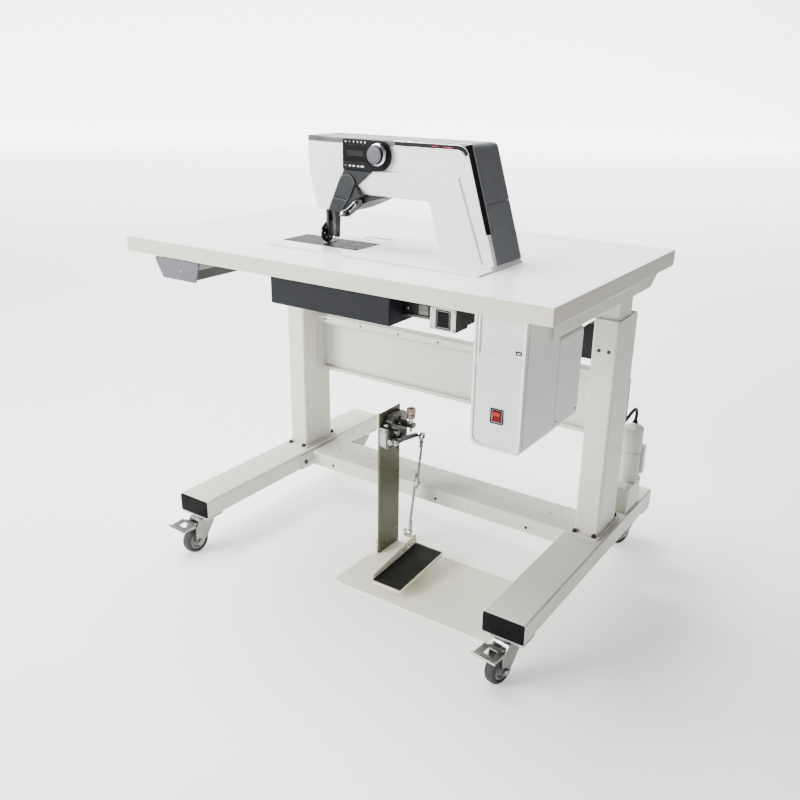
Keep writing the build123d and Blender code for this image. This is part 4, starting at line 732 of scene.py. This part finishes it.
    # bed: seams before and behind the arm, screws, feed dog with its teeth
    band("bed_seam", "bed", SEAM_GREY, "XY", ((21, -318), (21, -263)), 0.7, BED_Z - 0.2, 0.35)
    band("bed_seam_rear", "bed", SEAM_GREY, "XY", ((1, -164), (1, -120)), 0.7, BED_Z - 0.2, 0.35)
    ends = [(-218, y, BED_Z - 0.3) for y in (-306, -140)]
    screws("bed_screws", "bed", STEEL, ends, UPWARD, 3.4, 0.6)
    slab("feed_dog", "bed", STEEL, "XY", rounded(-126, -112, -232, -196, 1.5), BED_Z + 0.2, 1.0, 0.3)
    teeth = [rounded(-125, -113, y, y + 1.5, 0.3, 1) for y in range(-230, -197, 4)]
    slabs("feed_teeth", "bed", DARK_STEEL, "XY", teeth, BED_Z + 1.1, 0.5, 0.1)


def detail_control_box():
    """Rim, step, socket and switch surround on the control box; its side seam."""
    left, right, top, bottom, corner = 418.5, 529.5, 886, 601, 24
    rim = [(left, top)]
    for middle, start in ((left + corner, 180), (right - corner, 270)):
        for degrees in range(start, start + 91, 15):
            rim.append(on_circle(middle, bottom + corner, corner, math.radians(degrees)))
    rim.append((right, top))
    band("front_rim", "control_box_front", CONTROL_RIM, "XZ", rim, 6.0, -417.4, -2.0, edge=0.8)
    ledge = [(STEP_Y, 791.5), (-418, 791.5), (STEP_Y, 806)]
    slab("front_ledge", "control_box_front", CONTROL_PAINT, "YZ", ledge, 424, 100, 0.3)
    slab(
        "left_rail", "control_box_front", CONTROL_RIM, "XZ",
        ((423, 886), (428, 886), (428, 800), (423, 792)), STEP_Y, -4, 0.5,
    )
    slab(
        "usb_shell", "control_box_front", BLACK_GLOSS, "XZ", rounded(508, 522, 812, 820, 0.6), -413.8,
        -0.9, 0.15,
    )
    slab(
        "usb_tongue", "control_box_front", ICON, "XZ", rounded(511.4, 520, 814.3, 817.2, 0.3), -414.7,
        -0.25, 0.05,
    )
    band(
        "switch_surround", "control_box_front", CAP_BLACK, "XZ",
        rounded(462.2, 489.8, 659.0, 690.0, 1.4), 2.2, -416.4, -2.2, True,
    )
    slab(
        "switch_lens", "power_rocker", RED_LENS_AND_GLINT, "XZ", rounded(467.5, 484.5, 675.5, 683.5, 1), -417.6,
        -0.9, 0.3,
    )
    seam = ((-300, 889), (-268, 868), (-260.5, 858), (-259, 848), (-259, 598))
    band("side_seam", "control_box_front", SHADOW, "YZ", seam, 1.0, BOX_SIDE_X, 0.35, edge=0)
    band(
        "corner_groove", "control_box_front", GROOVE, "YZ", ((-409.5, 889), (-409.5, 612)), 1.6,
        BOX_SIDE_X, 0.35, edge=0,
    )
    vents = [rounded(y, y + 2.4, 640, 700, 1.1) for y in range(-232, -160, 8)]
    slabs("side_vents", "control_box", SHADOW, "YZ", vents, 415.1, -0.4, 0.0)
    screws(
        "box_screws", "control_box", BOLT, ((533, -144, 620), (533, -144, 860), (533, -246, 620)),
        RIGHTWARD, 2.8, 1.3,
    )


def detail_table():
    """Screws and bezel of the switch box, fittings of the oil pan, the drawer and the cover."""
    corners = [(x, SWITCH_BOX_Y, z) for x in (301.8, 356.2) for z in (830.8, 886)]
    screws("switch_box_screws", "switch_box", DARK_STEEL, corners, FRONTWARD, 3.0, 1.6)
    band(
        "switch_bezel", "switch_box", CAP_BLACK, "XZ", rounded(313.2, 346.8, 831.0, 870.0, 1.6), 2.2,
        SWITCH_BOX_Y, -1.7, True,
    )
    slab("relay_case", "oil_pan", GUN_METAL, "XZ", rounded(236, 262, 836, 858, 1.2), PAN_Y, -4, 0.8)
    band("relay_seam", "oil_pan", SHADOW, "XZ", ((236.6, 848), (261.4, 848)), 0.7, -349.5, -0.2, edge=0)
    slab("pan_lip", "oil_pan", GUN_METAL, "XZ", rounded(196, 296, 827.5, 833, 0.8), -345.8, -3, 0.6)
    screws("pan_screws", "oil_pan", STEEL, ((206, -346, 845), (282, -346, 845)), FRONTWARD, 2.6, 1.2)
    turned(
        "drawer_button", "drawer", SEAM_GREY, ((3.2, 0), (3.2, 0.5), (2.4, 0.9), (0.4, 0.9)),
        (-420, -435, 858), FRONTWARD,
    )
    band(
        "cover_fold", "underbed_cover", EDGE_GREY, "XZ", ((-150, 887), (192, 887)), 0.8, -399.9,
        -0.35, edge=0,
    )
    screws(
        "cover_fixings", "underbed_cover", DARK_STEEL, ((194, -200, 860), (194, -330, 860)),
        RIGHTWARD, 2.6, 1.2,
    )
    rail = [(-540, y, 836) for y in (-230, -11, 208)]
    screws("rail_screws_left", "table_rails", BOLT, rail, LEFTWARD, 4.4, 2.0)


def detail_stand():
    """Panel screws, beam plugs, cable cover, motor fittings."""
    tops = [(x, MODESTY_Y, 600) for x in (-440, -300, -160, -20, 120, 260, 400)]
    screws("panel_screws", "modesty_panel", BOLT, tops, FRONTWARD, 3.0, 1.4)
    fold = ((-468, 590), (468, 590))
    band("panel_fold", "modesty_panel", SEAM_GREY, "XZ", fold, 1.0, MODESTY_Y, -0.3, edge=0)
    plugs = [(x, 150, 167.9) for x in (-385, -250, -90, 60, 215, 372)]
    screws("beam_plugs", "crossbeam", SEAM_GREY, plugs, UPWARD, 4.5, 0.6)
    faces = [(x, 83, 144) for x in (-330, -120, 140, 345)]
    screws("beam_front_plugs", "crossbeam", SEAM_GREY, faces, FRONTWARD, 3.2, 0.6)
    cover = rounded(492, 536, 470, 590, 4)
    slab("cable_cover", "outer_columns", PANEL_PAINT, "XZ", cover, COLUMN_BACK_Y, 5.2, 1.0)
    band(
        "cable_cover_gap", "outer_columns", SHADOW, "XZ", rounded(490.6, 537.4, 468.6, 591.4, 5), 1.6,
        COLUMN_BACK_Y, 0.5, True, 0,
    )
    turned(
        "lead_gland", "lift_motor", BLACK, ((8, 0), (8, 3), (6.4, 6), (5.6, 9), (4.7, 9)),
        (MOTOR_X, 327, 423), UPWARD,
    )
    turned(
        "motor_cap_ring", "lift_motor", SEAM_GREY, ((28.7, 0), (29, 0.6), (29, 2.2), (28.7, 2.8)),
        (MOTOR_X, 321, 341), UPWARD, 48,
    )
    screws(
        "terminal_screws", "lift_motor", BOLT,
        ((558, 339, 346), (558, 351, 346), (558, 339, 280), (558, 351, 280)), RIGHTWARD, 2, 0.9,
    )
    for number, x in enumerate((-503, 503)):
        slab(
            f"cap_panel_{number}", "beam_end_caps", CAP_BLACK, "XZ",
            rounded(x - 46, x + 46, 129, 167, 3), -382.8, -0.8, 0.5,
        )
    strip = [(-471, y, z) for y in (96, 160) for z in (240, 330, 420)]
    screws("column_plugs", "outer_columns", SEAM_GREY, strip, RIGHTWARD, 3.2, 0.8)


def detail_pedal():
    """Fittings of the pedal post, its speed control and the treadle."""
    fixings = [(POST_X, y, z) for y, z in ((-76, 24), (-52, 30), (-2, 52), (-2, 12))]
    holes = [(POST_X, y, z) for y, z in ((-6, 330), (-12, 336), (-4, 222), (-4, 238))]
    screws("post_screws", "pedal_post", STEEL, fixings, RIGHTWARD, 3.0, 1.6)
    screws("post_holes", "pedal_post", SHADOW, holes, RIGHTWARD, 2.0, 0.4)
    plate = rounded(-54, -32, 350, 404, 1.5)
    slab("control_face", "speed_control", STEEL, "XZ", plate, -85.8, -2.6, 0.6)
    turned(
        "boss_low_a", "speed_control", STEEL, ((9, 0), (9, 5), (7.4, 6.4), (3, 6.4), (2.6, 5.2)),
        (-20, -82, 368), FRONTWARD,
    )
    turned(
        "boss_low_b", "speed_control", STEEL, ((8, 0), (8, 6), (6.6, 7.2), (2.4, 7.2)),
        (-8, -74, 366), FRONTWARD,
    )
    turned(
        "pin_upper", "speed_control", STEEL, ((5, 0), (5, 15), (4, 16), (1, 16)), (-48, -78, 412),
        RIGHTWARD,
    )
    turned(
        "pin_lower", "speed_control", STEEL, ((6, 0), (6, 17), (5, 18), (1, 18)), (-52, -84, 396),
        RIGHTWARD,
    )
    heads = [(x, -88.4, z) for x, z in ((-50, 355), (-36, 355), (-50, 399))]
    screws("control_screws", "speed_control", STEEL, heads, FRONTWARD, 2.2, 1.2)
    stop = ((-28, -50, 352), (-16, -58, 349), (-6, -66, 345))
    wire("stop_screw", "speed_control", DARK_STEEL, stop, 2.0)
    screws(
        "treadle_screws", "treadle", STEEL, ((37, -96, 50), (37, -82, 52), (37, -68, 54)), RIGHTWARD,
        2.6, 1.3,
    )
    ribs = []
    for k in range(17):
        y = -238 + 12 * k
        z = 29.2 + 14 * (y + 250) / 222  # the mat's top rises 14 over its length of 222
        ribs.append([(y, z), (y + 3.5, z + 0.22), (y + 3.5, z + 0.8), (y, z + 0.6)])
    slabs("treadle_ribs", "treadle_mat", MAT, "YZ", ribs, 43, 80, 0.15)
    screws("knob_cap", "control_knob", DARK_STEEL, ((3, -17, 453.8),), UPWARD, 6.0, 1.6)


WHEEL_TURNS = {"front_left": -5, "front_right": -9, "rear_left": -22, "rear_right": -22}  # degrees
NUT_OFFSET = 23.5  # from the wheel's middle to the foot of an axle nut


def detail_casters():
    """Axle nuts on both sides of every caster."""
    for corner in CASTERS:
        low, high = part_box(f"{corner}_wheel")
        hub = (low + high) / 2 / MM
        along = math.radians(WHEEL_TURNS[corner])
        for side in (-1, 1):
            way = Vector((math.cos(along) * side, math.sin(along) * side, 0))
            profile = ((6.5, 0), (6.5, 4), (5.6, 5), (2, 5.4))
            turned(
                f"{corner}_nut_{side + 1}", f"{corner}_fork", BOLT, profile, hub + way * NUT_OFFSET,
                way, 6,
            )


detail_head()
detail_control_box()
detail_table()
detail_stand()
detail_pedal()
detail_casters()

add_camera()
add_studio()
